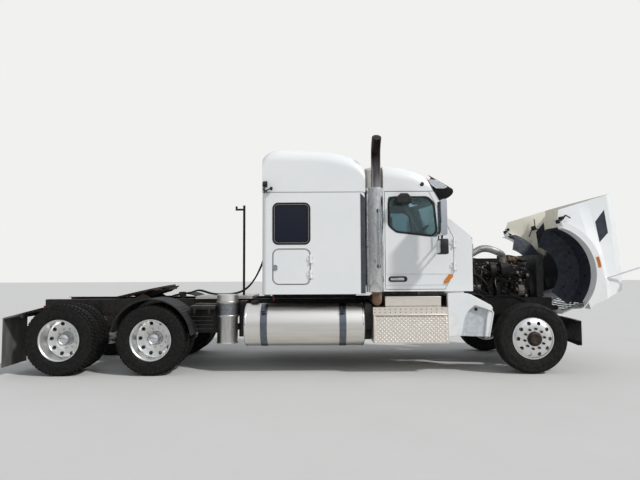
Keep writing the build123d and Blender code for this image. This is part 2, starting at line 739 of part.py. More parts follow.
with BuildPart() as cab_outer:
    side_block(cab_back, cab_front, -half, half, glass_foot_z, cab_seam)
    add(cone_outer.part, mode=Mode.INTERSECT)
    side_plate(cowl_side, -half, half)
    side_plate(shoulder_side, half - shoulder_width, half)
    side_plate(shoulder_side, -half, -half + shoulder_width)
    side_block(neck_back, cab_back, -neck_half_width, neck_half_width, 1250, cab_seam)

inner_half = half - cab_wall
with BuildPart() as cab_inner:
    side_block(cab_back + cab_wall, cab_front - cab_wall, -inner_half, inner_half,
               glass_foot_z - cab_wall, cab_seam + 1)
    add(cone_inner.part, mode=Mode.INTERSECT)
    side_block(cab_back + cab_wall, cab_front - cab_wall, -inner_half, inner_half,
               cab_bottom + cab_wall, glass_foot_z - cab_wall)
    side_block(neck_back - 1, cab_back + cab_wall, -neck_half_width + cab_wall, neck_half_width - cab_wall,
               1250 + cab_wall, cab_seam + 1)

with BuildPart() as cab_walls:
    add(cab_outer.part)
    add(cab_inner.part, mode=Mode.SUBTRACT)

door_edge_x = -1086
door_hinge_z = [1560, 1900]
door_outline = [(-2110, 1215), (-1225, 1215), (door_edge_x, 1470), (door_edge_x, 1980), (-1143, 2100),
                (-1451, 2684), (-2110, 2684)]
door_top = cab_seam - door_gap
window_outline = [(-1940, 2060), (-1315, 1985), (-1365, 2503), (-1460, 2600), (-2060, 2600), (-2060, 2160)]
window_corner = 45
windscreen_outline = [(-870, 2090), (870, 2090), (800, 2620), (-800, 2620)]
windscreen_corner = 50

with BuildPart() as cab_hinges:
    fixed_hinges(door_edge_x, cab_half_width, door_hinge_z)

with BuildPart() as cab_shell:
    add(cab_walls.part)
    side_plate(door_outline, half - cab_wall - 60, half + 20, Mode.SUBTRACT)
    side_plate(door_outline, -half - 20, -half + cab_wall + 60, Mode.SUBTRACT)
    with BuildSketch(Plane.YZ.offset(front_axle_x - 1500)) as windscreen_cut:
        Polygon(*windscreen_outline, align=None)
        fillet(windscreen_cut.vertices(), windscreen_corner)
    extrude(amount=900, mode=Mode.SUBTRACT)
    add(cab_hinges.part)
keep(cab_shell.part, "cab_shell")

# Doors: the pieces of the cab wall inside the outline, with their windows cut
with BuildPart() as door_right:
    add(cab_walls.part)
    with BuildSketch(Plane.XZ.offset(half - cab_wall - 1)):
        Polygon(*side(door_outline), align=None)
        offset(amount=-door_gap, kind=Kind.INTERSECTION)
    extrude(amount=cab_wall + 2, mode=Mode.INTERSECT)
    side_block(cab_back, cab_front, half - cab_wall - 1, half + 1, door_top, cab_seam + 20, Mode.SUBTRACT)
    with BuildSketch(Plane.XZ.offset(half - cab_wall - 1)) as door_window:
        Polygon(*side(window_outline), align=None)
        fillet(door_window.vertices(), window_corner)
    extrude(amount=cab_wall + 2, mode=Mode.SUBTRACT)
    door_knuckles(door_edge_x, cab_half_width, door_hinge_z)
keep(door_right.part, "door_right")
keep(mirror(door_right.part, about=Plane.XZ), "door_left")

with BuildPart() as door_glass_right:
    with BuildSketch(Plane.XZ.offset(half - cab_wall / 2 - pane / 2)) as door_pane:
        Polygon(*side(window_outline), align=None)
        fillet(door_pane.vertices(), window_corner)
        offset(amount=-pane_gap)
    extrude(amount=pane)
keep(door_glass_right.part, "door_glass_right")
keep(mirror(door_glass_right.part, about=Plane.XZ), "door_glass_left")

# Door mirrors: a tall head and a lower head on one bracket off the door's front, and one that looks down
mirror_inner_y = 1270
mirror_outer_y = 1510
look_down_inner_y = 1090
with BuildPart() as door_mirror_right:
    side_block(-1370, -1290, mirror_inner_y, mirror_outer_y, 1987, 2499)
    fillet(door_mirror_right.edges().filter_by(Axis.Y), 30)
    side_block(-1390, -1270, mirror_inner_y - 20, mirror_outer_y - 10, 1725, 1941)
    side_block(-1340, -1310, mirror_inner_y + 40, mirror_inner_y + 70, 1900, 2000)
    side_block(-1340, -1310, half, mirror_inner_y + 60, 1760, 1790)
    side_block(-1340, -1310, half, mirror_inner_y + 60, 1880, 1910)
    side_block(-1860, -1825, half, look_down_inner_y + 20, 2605, 2640)
    side_plate([(-1955, 2480), (-1730, 2480), (-1730, 2560), (-1790, 2625), (-1895, 2625), (-1955, 2560)],
               look_down_inner_y, look_down_inner_y + 150)
keep(door_mirror_right.part, "door_mirror_right")
keep(mirror(door_mirror_right.part, about=Plane.XZ), "door_mirror_left")

# Cab roof: a crowned cap, lofted along the truck and trimmed by the cone of the windscreen
# Each row: place, height where the side turns in, inset of the crown's edge
cab_roof_rows = [(-2390, 3044), (-2138, 3080), (-1850, 3050), (-1600, 2978), (-1431, 2895), (-1200, 2770)]
roof_turn = 150
roof_drop = 190
roof_crown = 45


def roof_sections(rows, half_width, seam, inset):
    """Front view sections of a roof cap: upright side, a corner arc on each side and a crown arc."""
    sections = []
    for x, top in rows:
        flat_y = half_width - roof_turn
        with BuildSketch(Plane.YZ.offset(front_axle_x + x)) as section:
            with BuildLine():
                edge_y = half_width - inset
                right = Line((-edge_y, seam), (-edge_y, max(top - roof_drop, seam + 10)))
                corner = TangentArc(right @ 1, (-flat_y, top - inset), tangent=(0, 1))
                crown = ThreePointArc(corner @ 1, (0, top + roof_crown - inset), (flat_y, top - inset))
                left = Line((edge_y, seam), (edge_y, max(top - roof_drop, seam + 10)))
                TangentArc(left @ 1, crown @ 1, tangent=(0, 1))
                Line(right @ 0, left @ 0)
            make_face()
        sections.append(section.sketch)
    return sections


cap_wall = 40


def inner_rows(rows):
    """The same roof rows with both ends moved in by the cap's wall."""
    return [(rows[0][0] + cap_wall, rows[0][1]), *rows[1:-1], (rows[-1][0] - cap_wall, rows[-1][1])]


with BuildPart() as roof_outer:
    loft(roof_sections(cab_roof_rows, cab_half_width, cab_seam, 0))
    add(cone_outer.part, mode=Mode.INTERSECT)

with BuildPart() as cab_roof:
    add(roof_outer.part)
    loft(roof_sections(inner_rows(cab_roof_rows), cab_half_width, cab_seam, cap_wall), mode=Mode.SUBTRACT)
    for hand in (-1, 1):
        with BuildSketch(Plane.XY.offset(cab_seam - 10)):
            with Locations((front_axle_x + (sleeper_front + cab_back) / 2, hand * (cab_half_width + 30))):
                Rectangle(cab_back - sleeper_front, 300)
        extrude(amount=500, mode=Mode.SUBTRACT)
keep(cab_roof.part, "cab_roof")

# Sleeper: a box with round upright corners, windows and luggage doors cut in its sides
sleeper_length = sleeper_front - sleeper_back
sleeper_middle = front_axle_x + (sleeper_front + sleeper_back) / 2
sleeper_window = [-3762, -3217, 1885, 2493]
luggage_edge_x = -3208
luggage_hinge_z = [1450, 1670]
luggage_place = [-3769, luggage_edge_x, 1294, 1825]
window_round = 80
luggage_round = 95
sleeper_floor = 60
passage_half_width = 700

with BuildPart() as sleeper_walls:
    with BuildSketch(Plane.XY.offset(sleeper_bottom)):
        with Locations((sleeper_middle, 0)):
            RectangleRounded(sleeper_length, 2 * sleeper_half_width, sleeper_corner)
    extrude(amount=sleeper_seam - sleeper_bottom)
    with BuildSketch(Plane.XY.offset(sleeper_bottom + sleeper_floor)):
        with Locations((sleeper_middle, 0)):
            RectangleRounded(sleeper_length - 2 * sleeper_wall, 2 * (sleeper_half_width - sleeper_wall),
                             sleeper_corner - sleeper_wall)
    extrude(amount=sleeper_seam, mode=Mode.SUBTRACT)


def side_opening(place, corner, gap):
    """A rounded side view opening from its back, front, bottom and top, drawn smaller by a gap."""
    back, front, bottom, top = place
    with Locations((front_axle_x + (back + front) / 2, (bottom + top) / 2)):
        RectangleRounded(front - back - 2 * gap, top - bottom - 2 * gap, corner - gap)


with BuildPart() as sleeper_hinges:
    fixed_hinges(luggage_edge_x, sleeper_half_width, luggage_hinge_z)

with BuildPart() as sleeper_shell:
    add(sleeper_walls.part)
    with BuildSketch(Plane.XZ.offset(-sleeper_half_width - 10)):
        side_opening(sleeper_window, window_round, 0)
        side_opening(luggage_place, luggage_round, 0)
    extrude(amount=2 * sleeper_half_width + 20, mode=Mode.SUBTRACT)
    side_block(sleeper_front - sleeper_wall - 10, sleeper_front + 10, -passage_half_width, passage_half_width,
               1310, 2590, Mode.SUBTRACT)
    for hand in (-1, 1):
        side_block(sleeper_back + 100, sleeper_front - 100, hand * 395 - 35, hand * 395 + 35,
                   rail_top, sleeper_bottom)
    add(sleeper_hinges.part)
keep(sleeper_shell.part, "sleeper_shell")

with BuildPart() as luggage_door_right:
    add(sleeper_walls.part)
    with BuildSketch(Plane.XZ.offset(sleeper_half_width - sleeper_wall - 1)):
        side_opening(luggage_place, luggage_round, door_gap)
    extrude(amount=sleeper_wall + 2, mode=Mode.INTERSECT)
    door_knuckles(luggage_edge_x, sleeper_half_width, luggage_hinge_z)
keep(luggage_door_right.part, "luggage_door_right")
keep(mirror(luggage_door_right.part, about=Plane.XZ), "luggage_door_left")

# Each row: place, height of the roof's edge above the side wall
sleeper_roof_rows = [(-3920, 3180), (-3790, 3290), (-3429, 3305), (-2950, 3272), (-2639, 3199), (-2480, 3110),
                     (-2403, 3000)]
with BuildPart() as sleeper_roof:
    loft(roof_sections(sleeper_roof_rows, sleeper_half_width, sleeper_seam, 0))
    loft(roof_sections(inner_rows(sleeper_roof_rows), sleeper_half_width, sleeper_seam, cap_wall),
         mode=Mode.SUBTRACT)
keep(sleeper_roof.part, "sleeper_roof")

# Bellows between cab and sleeper
with BuildPart() as cab_boot:
    side_block(sleeper_front, neck_back, -neck_half_width + 20, neck_half_width - 20, 1270, 2630)
    side_block(sleeper_front, neck_back, -passage_half_width, passage_half_width, 1310, 2590, Mode.SUBTRACT)
keep(cab_boot.part, "cab_boot")

# Fixed glass: the bowed windscreen and the two sleeper windows
with BuildPart() as fixed_glass:
    add(glass_outer.part)
    add(glass_inner.part, mode=Mode.SUBTRACT)
    with BuildSketch(Plane.YZ.offset(front_axle_x - 1500)) as screen:
        Polygon(*windscreen_outline, align=None)
        fillet(screen.vertices(), windscreen_corner)
        offset(amount=-pane_gap)
    extrude(amount=900, mode=Mode.INTERSECT)
    for hand in (-1, 1):
        with BuildSketch(Plane.XZ.offset(hand * (sleeper_half_width - sleeper_wall / 2) - pane / 2)):
            side_opening(sleeper_window, window_round, pane_gap)
        extrude(amount=pane)
keep(fixed_glass.part, "fixed_glass")

# Sun visor: a bowed sheet over the windscreen, on three brackets off the roof's front edge
visor_half_width = 1000
visor_axis_x = front_axle_x + glass_foot_x - glass_bow_radius
visor_section = [(-1232, 2926), (-905, 2720), (-900, 2726), (-1227, 2932)]
visor_bracket_section = [(-1232, 2800), (-1205, 2770), (-1205, 2909), (-1232, 2926)]
visor_bracket_turn = 17
visor_bracket_arc = 1.2

with BuildPart() as sun_visor:
    with BuildSketch(Plane.XZ) as visor_profile:
        Polygon(*side(visor_section), align=None)
    revolve(visor_profile.sketch, axis=Axis((visor_axis_x, 0, 0), (0, 0, 1)))
    with BuildSketch(Plane.XY.offset(2600)):
        with Locations((front_axle_x - 1100, 0)):
            Rectangle(1200, 2 * visor_half_width)
    extrude(amount=500, mode=Mode.INTERSECT)
    with BuildSketch(Plane.XZ) as bracket_profile:
        Polygon(*side(visor_bracket_section), align=None)
    for turn in (-visor_bracket_turn, 0, visor_bracket_turn):
        upright = Axis((visor_axis_x, 0, 0), (0, 0, 1))
        start = bracket_profile.sketch.rotate(upright, turn - visor_bracket_arc / 2)
        revolve(start, axis=upright, revolution_arc=visor_bracket_arc)
    add(roof_outer.part, mode=Mode.SUBTRACT)
keep(sun_visor.part, "sun_visor")

# Cab interior: two seats, the dash with the steering wheel, and the bunk
with BuildPart() as cab_interior:
    floor = cab_bottom + cab_wall
    for y in (-450, 450):
        side_block(-1950, -1450, y - 240, y + 240, floor, 1700)
        side_plate([(-2050, 1640), (-1900, 1640), (-1950, 2330), (-2080, 2330)], y - 230, y + 230)
    dash_front = cab_front - cab_wall
    side_plate([(-1100, 1500), (dash_front, 1500), (dash_front, 1900), (-980, 1950), (-1120, 1880)],
               -inner_half + 5, inner_half - 5)
    side_block(sleeper_back + 80, -2900, -sleeper_half_width + sleeper_wall, sleeper_half_width - sleeper_wall,
               1835, 1870)
keep(cab_interior.part, "cab_interior")

# Tail lamps on the last crossmember
with BuildPart() as tail_lamps:
    for hand in (-1, 1):
        side_block(-7470, rail_back, hand * 390 - 60, hand * 390 + 60, 860, 960)
keep(tail_lamps.part, "tail_lamps")

# Hood, built in its closed place and tipped open at the end
# Each row: place, fender y, fender z, waist y, waist z, side y, side z, edge y, edge z, crown z
hood_rows = [
    (hood_back, 1050, 1350, 1050, 1600, 1050, 1900, 960, 2035, 2070),
    (-400, 1125, 1390, 1070, 1560, 1050, 1830, 955, 1953, 1990),
    (0, 1190, 1430, 1088, 1545, 1045, 1750, 950, 1872, 1912),
    (400, 1190, 1400, 1088, 1500, 1025, 1675, 935, 1795, 1835),
    (900, 1150, 1300, 1050, 1400, 980, 1570, 880, 1690, 1730),
]
nose_bottom = 900
nose_front = 775
nose_sweep = 110
nose_lean = 76 / 599


def hood_sections(inset):
    """Front view sections of the hood: fender side, waist, upper side, corner arc and crown."""
    sections = []
    for row in hood_rows:
        x, fender_y, fender_z, waist_y, waist_z, side_y, side_z, edge_y, edge_z, crown_z = row
        with BuildSketch(Plane.YZ.offset(front_axle_x + x)) as section:
            with BuildLine():
                right = Polyline((-fender_y + inset, nose_bottom - 5), (-fender_y + inset, fender_z - inset / 2),
                                 (-waist_y + inset, waist_z - inset / 2), (-side_y + inset, side_z - inset / 2))
                corner = Line(right @ 1, (-edge_y + inset / 2, edge_z - inset))
                crown = ThreePointArc(corner @ 1, (0, crown_z - inset), (edge_y - inset / 2, edge_z - inset))
                left = Polyline(crown @ 1, (side_y - inset, side_z - inset / 2),
                                (waist_y - inset, waist_z - inset / 2),
                                (fender_y - inset, fender_z - inset / 2), (fender_y - inset, nose_bottom - 5))
                Line(left @ 1, right @ 0)
            make_face()
        sections.append(section.sketch)
    return sections


def nose_form(inset):
    """The plan view form of the whole hood with its swept nose, leaning back as it rises."""
    with BuildSketch(Plane.XY.offset(nose_bottom)) as plan:
        with BuildLine():
            lean = (1076 - nose_bottom) * nose_lean
            tip = front_axle_x + nose_front + lean - inset
            end = tip - nose_sweep
            nose = ThreePointArc((end, -1200), (tip, 0), (end, 1200))
            Polyline(nose @ 1, (front_axle_x + hood_back, 1200), (front_axle_x + hood_back, -1200), nose @ 0)
        make_face()
    extrude(plan.sketch, amount=1300, dir=(-nose_lean, 0, 1))


with BuildPart() as hood_outer:
    loft(hood_sections(0), ruled=True)
with BuildPart() as nose_outer:
    nose_form(0)
with BuildPart() as hood_inner:
    loft(hood_sections(hood_wall), ruled=True)
with BuildPart() as nose_inner:
    nose_form(hood_wall)

with BuildPart() as hood_cavity:
    add(hood_inner.part)
    add(nose_inner.part, mode=Mode.INTERSECT)

with BuildPart() as hood_skin:
    add(hood_outer.part)
    add(nose_outer.part, mode=Mode.INTERSECT)
    add(hood_cavity.part, mode=Mode.SUBTRACT)

grille_place = [480, 985, 1560]
lamp_place = [640, 1060, 1130, 1380]
vent_outline = [(-606, 1793), (-474, 1601), (-164, 1553), (-261, 1736)]
mirror_base = [352, 1455]
rim_inner_y = 1030
rim_outer_y = 1195
hood_arm_inner_y = 382
hood_arm_outer_y = 412

with BuildPart() as hood_shell:
    add(hood_skin.part)
    side_plate([(hood_back - 60, 800), (hood_back - 60, 1145), (hood_back, 1145), (-647, fender_bottom),
                (640, fender_bottom), (640, 800)], -1300, 1300, Mode.SUBTRACT)
    for hand in (-1, 1):
        with BuildSketch(Plane.XY.offset(800)):
            with Locations((front_axle_x + 800, hand * 900)):
                Rectangle(400, 600)
        extrude(amount=fender_bottom + 16 - 800, mode=Mode.SUBTRACT)
        with BuildSketch(Plane.XZ.offset(hand * 1150 - 150)):
            with Locations((front_axle_x + arch_x, arch_z)):
                Circle(arch_radius)
        extrude(amount=300, mode=Mode.SUBTRACT)
        with BuildSketch(Plane.XZ.offset(hand * (rim_inner_y + rim_outer_y) / 2 - (rim_outer_y - rim_inner_y) / 2)):
            with Locations((front_axle_x + arch_x, arch_z)):
                Circle(arch_radius + arch_rim)
                Circle(arch_radius, mode=Mode.SUBTRACT)
            Polygon(*side([(-900, -200), (900, -200), (900, fender_bottom), (-900, fender_bottom)]), align=None,
                    mode=Mode.SUBTRACT)
        extrude(amount=rim_outer_y - rim_inner_y)
        half_grille, grille_bottom, grille_top = grille_place
        with BuildSketch(Plane.XZ.offset(hand * (hood_arm_inner_y + hood_arm_outer_y) / 2 - 15)):
            Polygon(*side([(650, 912), (680, 930), (720, 975), (760, 975), (773, 905), (690, 868)]), align=None)
            with Locations((front_axle_x + hood_pivot_x, hood_pivot_z)):
                Circle(34)
                Circle(hinge_pin_radius + bearing_gap, mode=Mode.SUBTRACT)
        extrude(amount=30)
    side_plate(vent_outline, 900, 1300, Mode.SUBTRACT)
    side_plate(vent_outline, -1300, -900, Mode.SUBTRACT)
    with BuildSketch(Plane.YZ.offset(front_axle_x + 600)):
        with Locations((0, (grille_bottom + grille_top) / 2)):
            RectangleRounded(2 * half_grille, grille_top - grille_bottom, 60)
        low_y, high_y, low_z, high_z = lamp_place
        with Locations((-(low_y + high_y) / 2, (low_z + high_z) / 2), ((low_y + high_y) / 2, (low_z + high_z) / 2)):
            RectangleRounded(high_y - low_y, high_z - low_z, 50)
    extrude(amount=400, mode=Mode.SUBTRACT)
keep(hood_shell.part.rotate(hood_axis, hood_open_angle), "hood_shell")

# Grille: a surround with upright and level bars, following the nose; dark screens fill the side vents
grille_border = 35
bar = 8
with BuildPart() as grille:
    add(hood_skin.part)
    with BuildSketch(Plane.YZ.offset(front_axle_x + 600)):
        with Locations((0, (grille_bottom + grille_top) / 2)):
            RectangleRounded(2 * half_grille - 2 * pane_gap, grille_top - grille_bottom - 2 * pane_gap, 60)
            RectangleRounded(2 * (half_grille - grille_border), grille_top - grille_bottom - 2 * grille_border, 30,
                             mode=Mode.SUBTRACT)
            with GridLocations(0, 64, 1, 8):
                Rectangle(2 * half_grille - grille_border, bar)
            with GridLocations(148, 0, 6, 1):
                Rectangle(bar, grille_top - grille_bottom - grille_border)
    extrude(amount=400, mode=Mode.INTERSECT)
keep(grille.part.rotate(hood_axis, hood_open_angle), "grille")

with BuildPart() as headlamps:
    add(hood_skin.part)
    with BuildSketch(Plane.YZ.offset(front_axle_x + 600)):
        with Locations((-(low_y + high_y) / 2, (low_z + high_z) / 2), ((low_y + high_y) / 2, (low_z + high_z) / 2)):
            RectangleRounded(high_y - low_y - 2 * pane_gap, high_z - low_z - 2 * pane_gap, 50)
    extrude(amount=400, mode=Mode.INTERSECT)
keep(headlamps.part.rotate(hood_axis, hood_open_angle), "headlamps")

liner_wall = 10
liner_inner_y = 650
with BuildPart() as vent_screens:
    add(hood_skin.part)
    with BuildSketch(Plane.XZ.offset(-1300)):
        Polygon(*side(vent_outline), align=None)
        offset(amount=-pane_gap)
    extrude(amount=2600, mode=Mode.INTERSECT)

with BuildPart() as hood_liners:
    add(vent_screens.part)
    with BuildSketch(Plane.XZ.offset(liner_inner_y)):
        with Locations((front_axle_x + arch_x, arch_z)):
            Circle(arch_radius + 15 + liner_wall)
            Circle(arch_radius + 15, mode=Mode.SUBTRACT)
        Polygon(*side([(-900, -200), (900, -200), (900, fender_bottom), (-900, fender_bottom)]), align=None,
                mode=Mode.SUBTRACT)
    extrude(amount=rim_inner_y - liner_inner_y)
    mirror(about=Plane.XZ)
keep(hood_liners.part.rotate(hood_axis, hood_open_angle), "hood_liners")

with BuildPart() as hood_mirrors:
    for hand in (-1, 1):
        with BuildSketch(Plane.XY.offset(1400)):
            with Locations((front_axle_x + 352, hand * 1120)):
                Circle(14)
        extrude(amount=660)
        with BuildSketch(Plane.XY.offset(2060)):
            with Locations((front_axle_x + 352, hand * 1160)):
                RectangleRounded(70, 210, 30)
        extrude(amount=230)
    add(hood_outer.part, mode=Mode.SUBTRACT)
keep(hood_mirrors.part.rotate(hood_axis, hood_open_angle), "hood_mirrors")

# Steering knuckles: a fork round the beam's end, the kingpin and the wheel spindle
ear_height = 45
with BuildPart() as knuckle_right:
    for z in (axle_z + boss_half + bearing_gap, axle_z - boss_half - bearing_gap - ear_height):
        with BuildSketch(Plane.XY.offset(z)):
            with Locations((front_axle_x, -kingpin_y)):
                Circle(boss_radius - 5)
            with Locations((front_axle_x, -kingpin_y - 37.5)):
                Rectangle(80, 75)
        extrude(amount=ear_height)
    with BuildSketch(Plane.XY.offset(axle_z - boss_half - bearing_gap)):
        with Locations((front_axle_x, -kingpin_y)):
            Circle(kingpin_radius)
    extrude(amount=2 * boss_half + 2 * bearing_gap)
    side_block(-40, 40, kingpin_y + boss_radius + 5, kingpin_y + 75, axle_z - boss_half - ear_height,
               axle_z + boss_half + ear_height)
    side_disc(0, axle_z, spindle_radius, kingpin_y + 70, 1195)
keep(knuckle_right.part, "knuckle_right")
keep(mirror(knuckle_right.part, about=Plane.XZ), "knuckle_left")

# Rim and disc in section: distance outboard of the rim's middle, radius from the axle
disc_inner = wheel_offset - disc_thickness
rim_half = rim_width / 2
rim_edge = rim_half + 13
rim_section = [
    (-rim_edge, flange_radius), (-rim_half, flange_radius), (-rim_half, bead_radius), (rim_half, bead_radius),
    (rim_half, flange_radius), (rim_edge, flange_radius), (rim_edge, 284), (146, 262), (160, 225),
    (wheel_offset, 185), (wheel_offset, disc_bore_radius), (disc_inner, disc_bore_radius), (disc_inner, 185),
    (138, 222), (122, 256), (104, 276), (-118, 276), (-rim_edge, 286),
]


def tyre_section(middle_y):
    """Section of one tyre, crowned over the tread and bulging at the sidewalls."""
    tread = tyre_width / 2 - 18
    with BuildLine() as outline:
        right = ThreePointArc((middle_y - rim_half, axle_z + flange_radius + 2),
                              (middle_y - tyre_width / 2, axle_z + 395), (middle_y - tread, axle_z + 495))
        crown = ThreePointArc(right @ 1, (middle_y, axle_z + tyre_radius), (middle_y + tread, axle_z + 495))
        left = ThreePointArc(crown @ 1, (middle_y + tyre_width / 2, axle_z + 395),
                             (middle_y + rim_half, axle_z + flange_radius + 2))
        Polyline(left @ 1, (middle_y + rim_half, axle_z + bead_radius), (middle_y - rim_half, axle_z + bead_radius),
                 right @ 0)
    make_face(outline.edges())


# Each row: name, axle's place, side (-1 right, 1 left)
front_rows = [("front_right", 0, -1), ("front_left", 0, 1)]
first, second = drive_axle_x
dual_rows = [("middle_right", first, -1), ("middle_left", first, 1), ("rear_right", second, -1),
             ("rear_left", second, 1)]

front_hub = [(985, spindle_radius + bearing_gap), (985, 90), (1120, 90), (1120, 195), (990, 195), (990, 210),
             (1140, 210), (1140, 90), (1185, 90), (1185, 165), (front_tyre_y + disc_inner, 165),
             (front_tyre_y + disc_inner, disc_bore_radius), (front_tyre_y + wheel_offset + 6, disc_bore_radius),
             (front_tyre_y + wheel_offset + 6, 75), (1275, 75), (1275, 0), (1200, 0),
             (1200, spindle_radius + bearing_gap)]

for name, x, hand in front_rows:
    place = front_axle_x + x
    turn = Axis((place, 0, axle_z), (0, 1, 0))
    with BuildPart() as tyre:
        with BuildSketch(Plane.YZ.offset(place)):
            tyre_section(hand * front_tyre_y)
        revolve(axis=turn)
    keep(tyre.part, "tyre_" + name)
    with BuildPart() as wheel:
        with BuildSketch(Plane.YZ.offset(place)):
            Polygon(*[(hand * (front_tyre_y + out), axle_z + r) for out, r in rim_section], align=None)
            Polygon(*[(hand * out, axle_z + r) for out, r in front_hub], align=None)
        revolve(axis=turn)
        with BuildSketch(Plane.XZ.offset(-hand * (front_tyre_y + 100))):
            with Locations((place, axle_z)):
                with PolarLocations(hand_hole_circle, 10):
                    Circle(hand_hole_radius)
        extrude(amount=-hand * 100, mode=Mode.SUBTRACT)
    keep(wheel.part, "wheel_" + name)

dual_hub = [(590, axle_stub_radius + bearing_gap), (590, 80), (700, 80), (700, 195), (585, 195), (585, 212),
            (735, 212), (735, 80), (860, 80), (860, 165), (dual_disc_y - disc_thickness, 165),
            (dual_disc_y - disc_thickness, disc_bore_radius), (940, disc_bore_radius), (950, 90), (1060, 80),
            (1080, 60), (1080, 0), (1005, 0), (1005, axle_stub_radius + bearing_gap)]

for name, x, hand in dual_rows:
    place = front_axle_x + x
    turn = Axis((place, 0, axle_z), (0, 1, 0))
    with BuildPart() as tyres:
        with BuildSketch(Plane.YZ.offset(place)):
            for out in (-wheel_offset, wheel_offset):
                tyre_section(hand * (dual_disc_y + out))
        revolve(axis=turn)
    keep(tyres.part, "tyres_" + name)
    with BuildPart() as wheel:
        with BuildSketch(Plane.YZ.offset(place)):
            Polygon(*[(hand * (dual_disc_y - wheel_offset + out), axle_z + r) for out, r in rim_section],
                    align=None)
            Polygon(*[(hand * (dual_disc_y + wheel_offset - out), axle_z + r) for out, r in rim_section],
                    align=None)
            Polygon(*[(hand * out, axle_z + r) for out, r in dual_hub], align=None)
        revolve(axis=turn)
        with BuildSketch(Plane.XZ.offset(-hand * (dual_disc_y - 70))):
            with Locations((place, axle_z)):
                with PolarLocations(hand_hole_circle, 10):
                    Circle(hand_hole_radius)
        extrude(amount=-hand * 140, mode=Mode.SUBTRACT)
    keep(wheel.part, "wheel_" + name)
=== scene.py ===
# %% [markdown]
# A long-nose tractor unit, parked with its hood tipped open
#
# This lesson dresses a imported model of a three-axle tractor unit: white enamel panels, polished wheels and
# tanks, a greasy chassis and an open engine bay. The solids already have their real size and place, so
# nothing here moves or resizes them. Each piece that is added rides on one of the model's bodies, so that
# it turns, opens and tilts with it.

# %% Load the frame
import json
import math
import random
from contextlib import contextmanager

import bmesh
import bpy
from mathutils import Matrix, Vector

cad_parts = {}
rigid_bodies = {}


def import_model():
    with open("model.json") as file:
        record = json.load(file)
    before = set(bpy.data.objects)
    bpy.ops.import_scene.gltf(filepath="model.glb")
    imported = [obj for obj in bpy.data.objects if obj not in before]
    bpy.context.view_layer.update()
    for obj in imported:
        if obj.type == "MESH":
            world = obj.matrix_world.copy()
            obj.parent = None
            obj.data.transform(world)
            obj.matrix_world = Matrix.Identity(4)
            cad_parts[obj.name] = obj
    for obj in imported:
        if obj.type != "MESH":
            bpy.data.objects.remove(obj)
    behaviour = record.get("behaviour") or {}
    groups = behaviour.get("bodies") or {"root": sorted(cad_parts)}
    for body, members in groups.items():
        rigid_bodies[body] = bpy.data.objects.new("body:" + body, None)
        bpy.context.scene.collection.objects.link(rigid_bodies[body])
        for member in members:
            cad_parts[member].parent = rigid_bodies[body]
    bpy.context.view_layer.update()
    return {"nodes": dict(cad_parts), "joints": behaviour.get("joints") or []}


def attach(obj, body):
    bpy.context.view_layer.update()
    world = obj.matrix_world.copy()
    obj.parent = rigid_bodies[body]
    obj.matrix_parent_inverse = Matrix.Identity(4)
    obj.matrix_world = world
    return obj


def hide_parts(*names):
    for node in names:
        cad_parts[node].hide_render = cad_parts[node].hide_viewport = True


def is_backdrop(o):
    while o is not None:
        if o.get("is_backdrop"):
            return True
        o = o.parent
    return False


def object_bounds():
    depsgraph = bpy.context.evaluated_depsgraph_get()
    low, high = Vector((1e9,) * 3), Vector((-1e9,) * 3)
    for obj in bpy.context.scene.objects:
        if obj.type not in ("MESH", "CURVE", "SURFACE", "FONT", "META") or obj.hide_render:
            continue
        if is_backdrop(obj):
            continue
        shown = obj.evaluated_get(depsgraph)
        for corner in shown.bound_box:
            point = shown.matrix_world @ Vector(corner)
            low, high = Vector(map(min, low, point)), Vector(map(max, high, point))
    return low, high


for thing in list(bpy.data.objects):
    bpy.data.objects.remove(thing)

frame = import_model()
nodes = frame["nodes"]
joint_places = {joint["name"]: Vector(joint["pos_m"]) for joint in frame["joints"]}

# %% [markdown]
# Places along the truck are easiest to think of from the front axle, as a mechanic would measure them, in
# millimetres. One function turns such a place into a point of the frame, in metres, and another turns a
# size into metres. Most things come in pairs, and a hand of -1 or 1 puts them on the truck's right or left
# side.

# %% Places and sizes
front_axle = joint_places["steer_right"].x
right, left = -1, 1
hands = {"right": right, "left": left}
ahead, across, up = (1, 0, 0), (0, 1, 0), (0, 0, 1)


def mm(size):
    """A size in millimetres, in metres."""
    return size / 1000


def at(x, y, z):
    """A point given from the front axle, the centre line and the ground, all in millimetres."""
    return Vector((front_axle + mm(x), mm(y), mm(z)))


def spot(place):
    """A point from either a Vector in the frame or three numbers for at()."""
    return place if isinstance(place, Vector) else at(*place)


# %% [markdown]
# The camera comes first, because every later choice is made for the photograph's view. It stands 8.7 m to the
# right of the truck's centre line at about eye height, and tilts up by a little over three degrees.

# %% Camera
scene_objects = bpy.context.scene.collection.objects
camera_data = bpy.data.cameras.new("camera")
camera_data.sensor_width = 36
camera_data.lens = 29.1
camera_data.clip_end = 200
camera = bpy.data.objects.new("camera", camera_data)
camera.location = at(-3074, -8720, 1512)
tilt_up, roll = math.radians(3.3), math.radians(0.25)
camera.rotation_euler = (math.pi / 2 + tilt_up, roll, 0)
scene_objects.link(camera)
bpy.context.scene.camera = camera

# %% [markdown]
# Colours are picked from paint and metal as sRGB hex values, the way a paint chart gives them, but a
# renderer works in linear light. One function does that change, and another adds a shader node, whose lower
# case names are settings and whose other names are sockets.

# %% Colours and nodes


def hex_colour(text):
    """An sRGB colour such as "EDEEEC" as linear red, green, blue and alpha."""
    channels = [int(text[i:i + 2], 16) / 255 for i in (0, 2, 4)]
    linear = [c / 12.92 if c <= 0.04045 else ((c + 0.055) / 1.055) ** 2.4 for c in channels]
    return (*linear, 1)


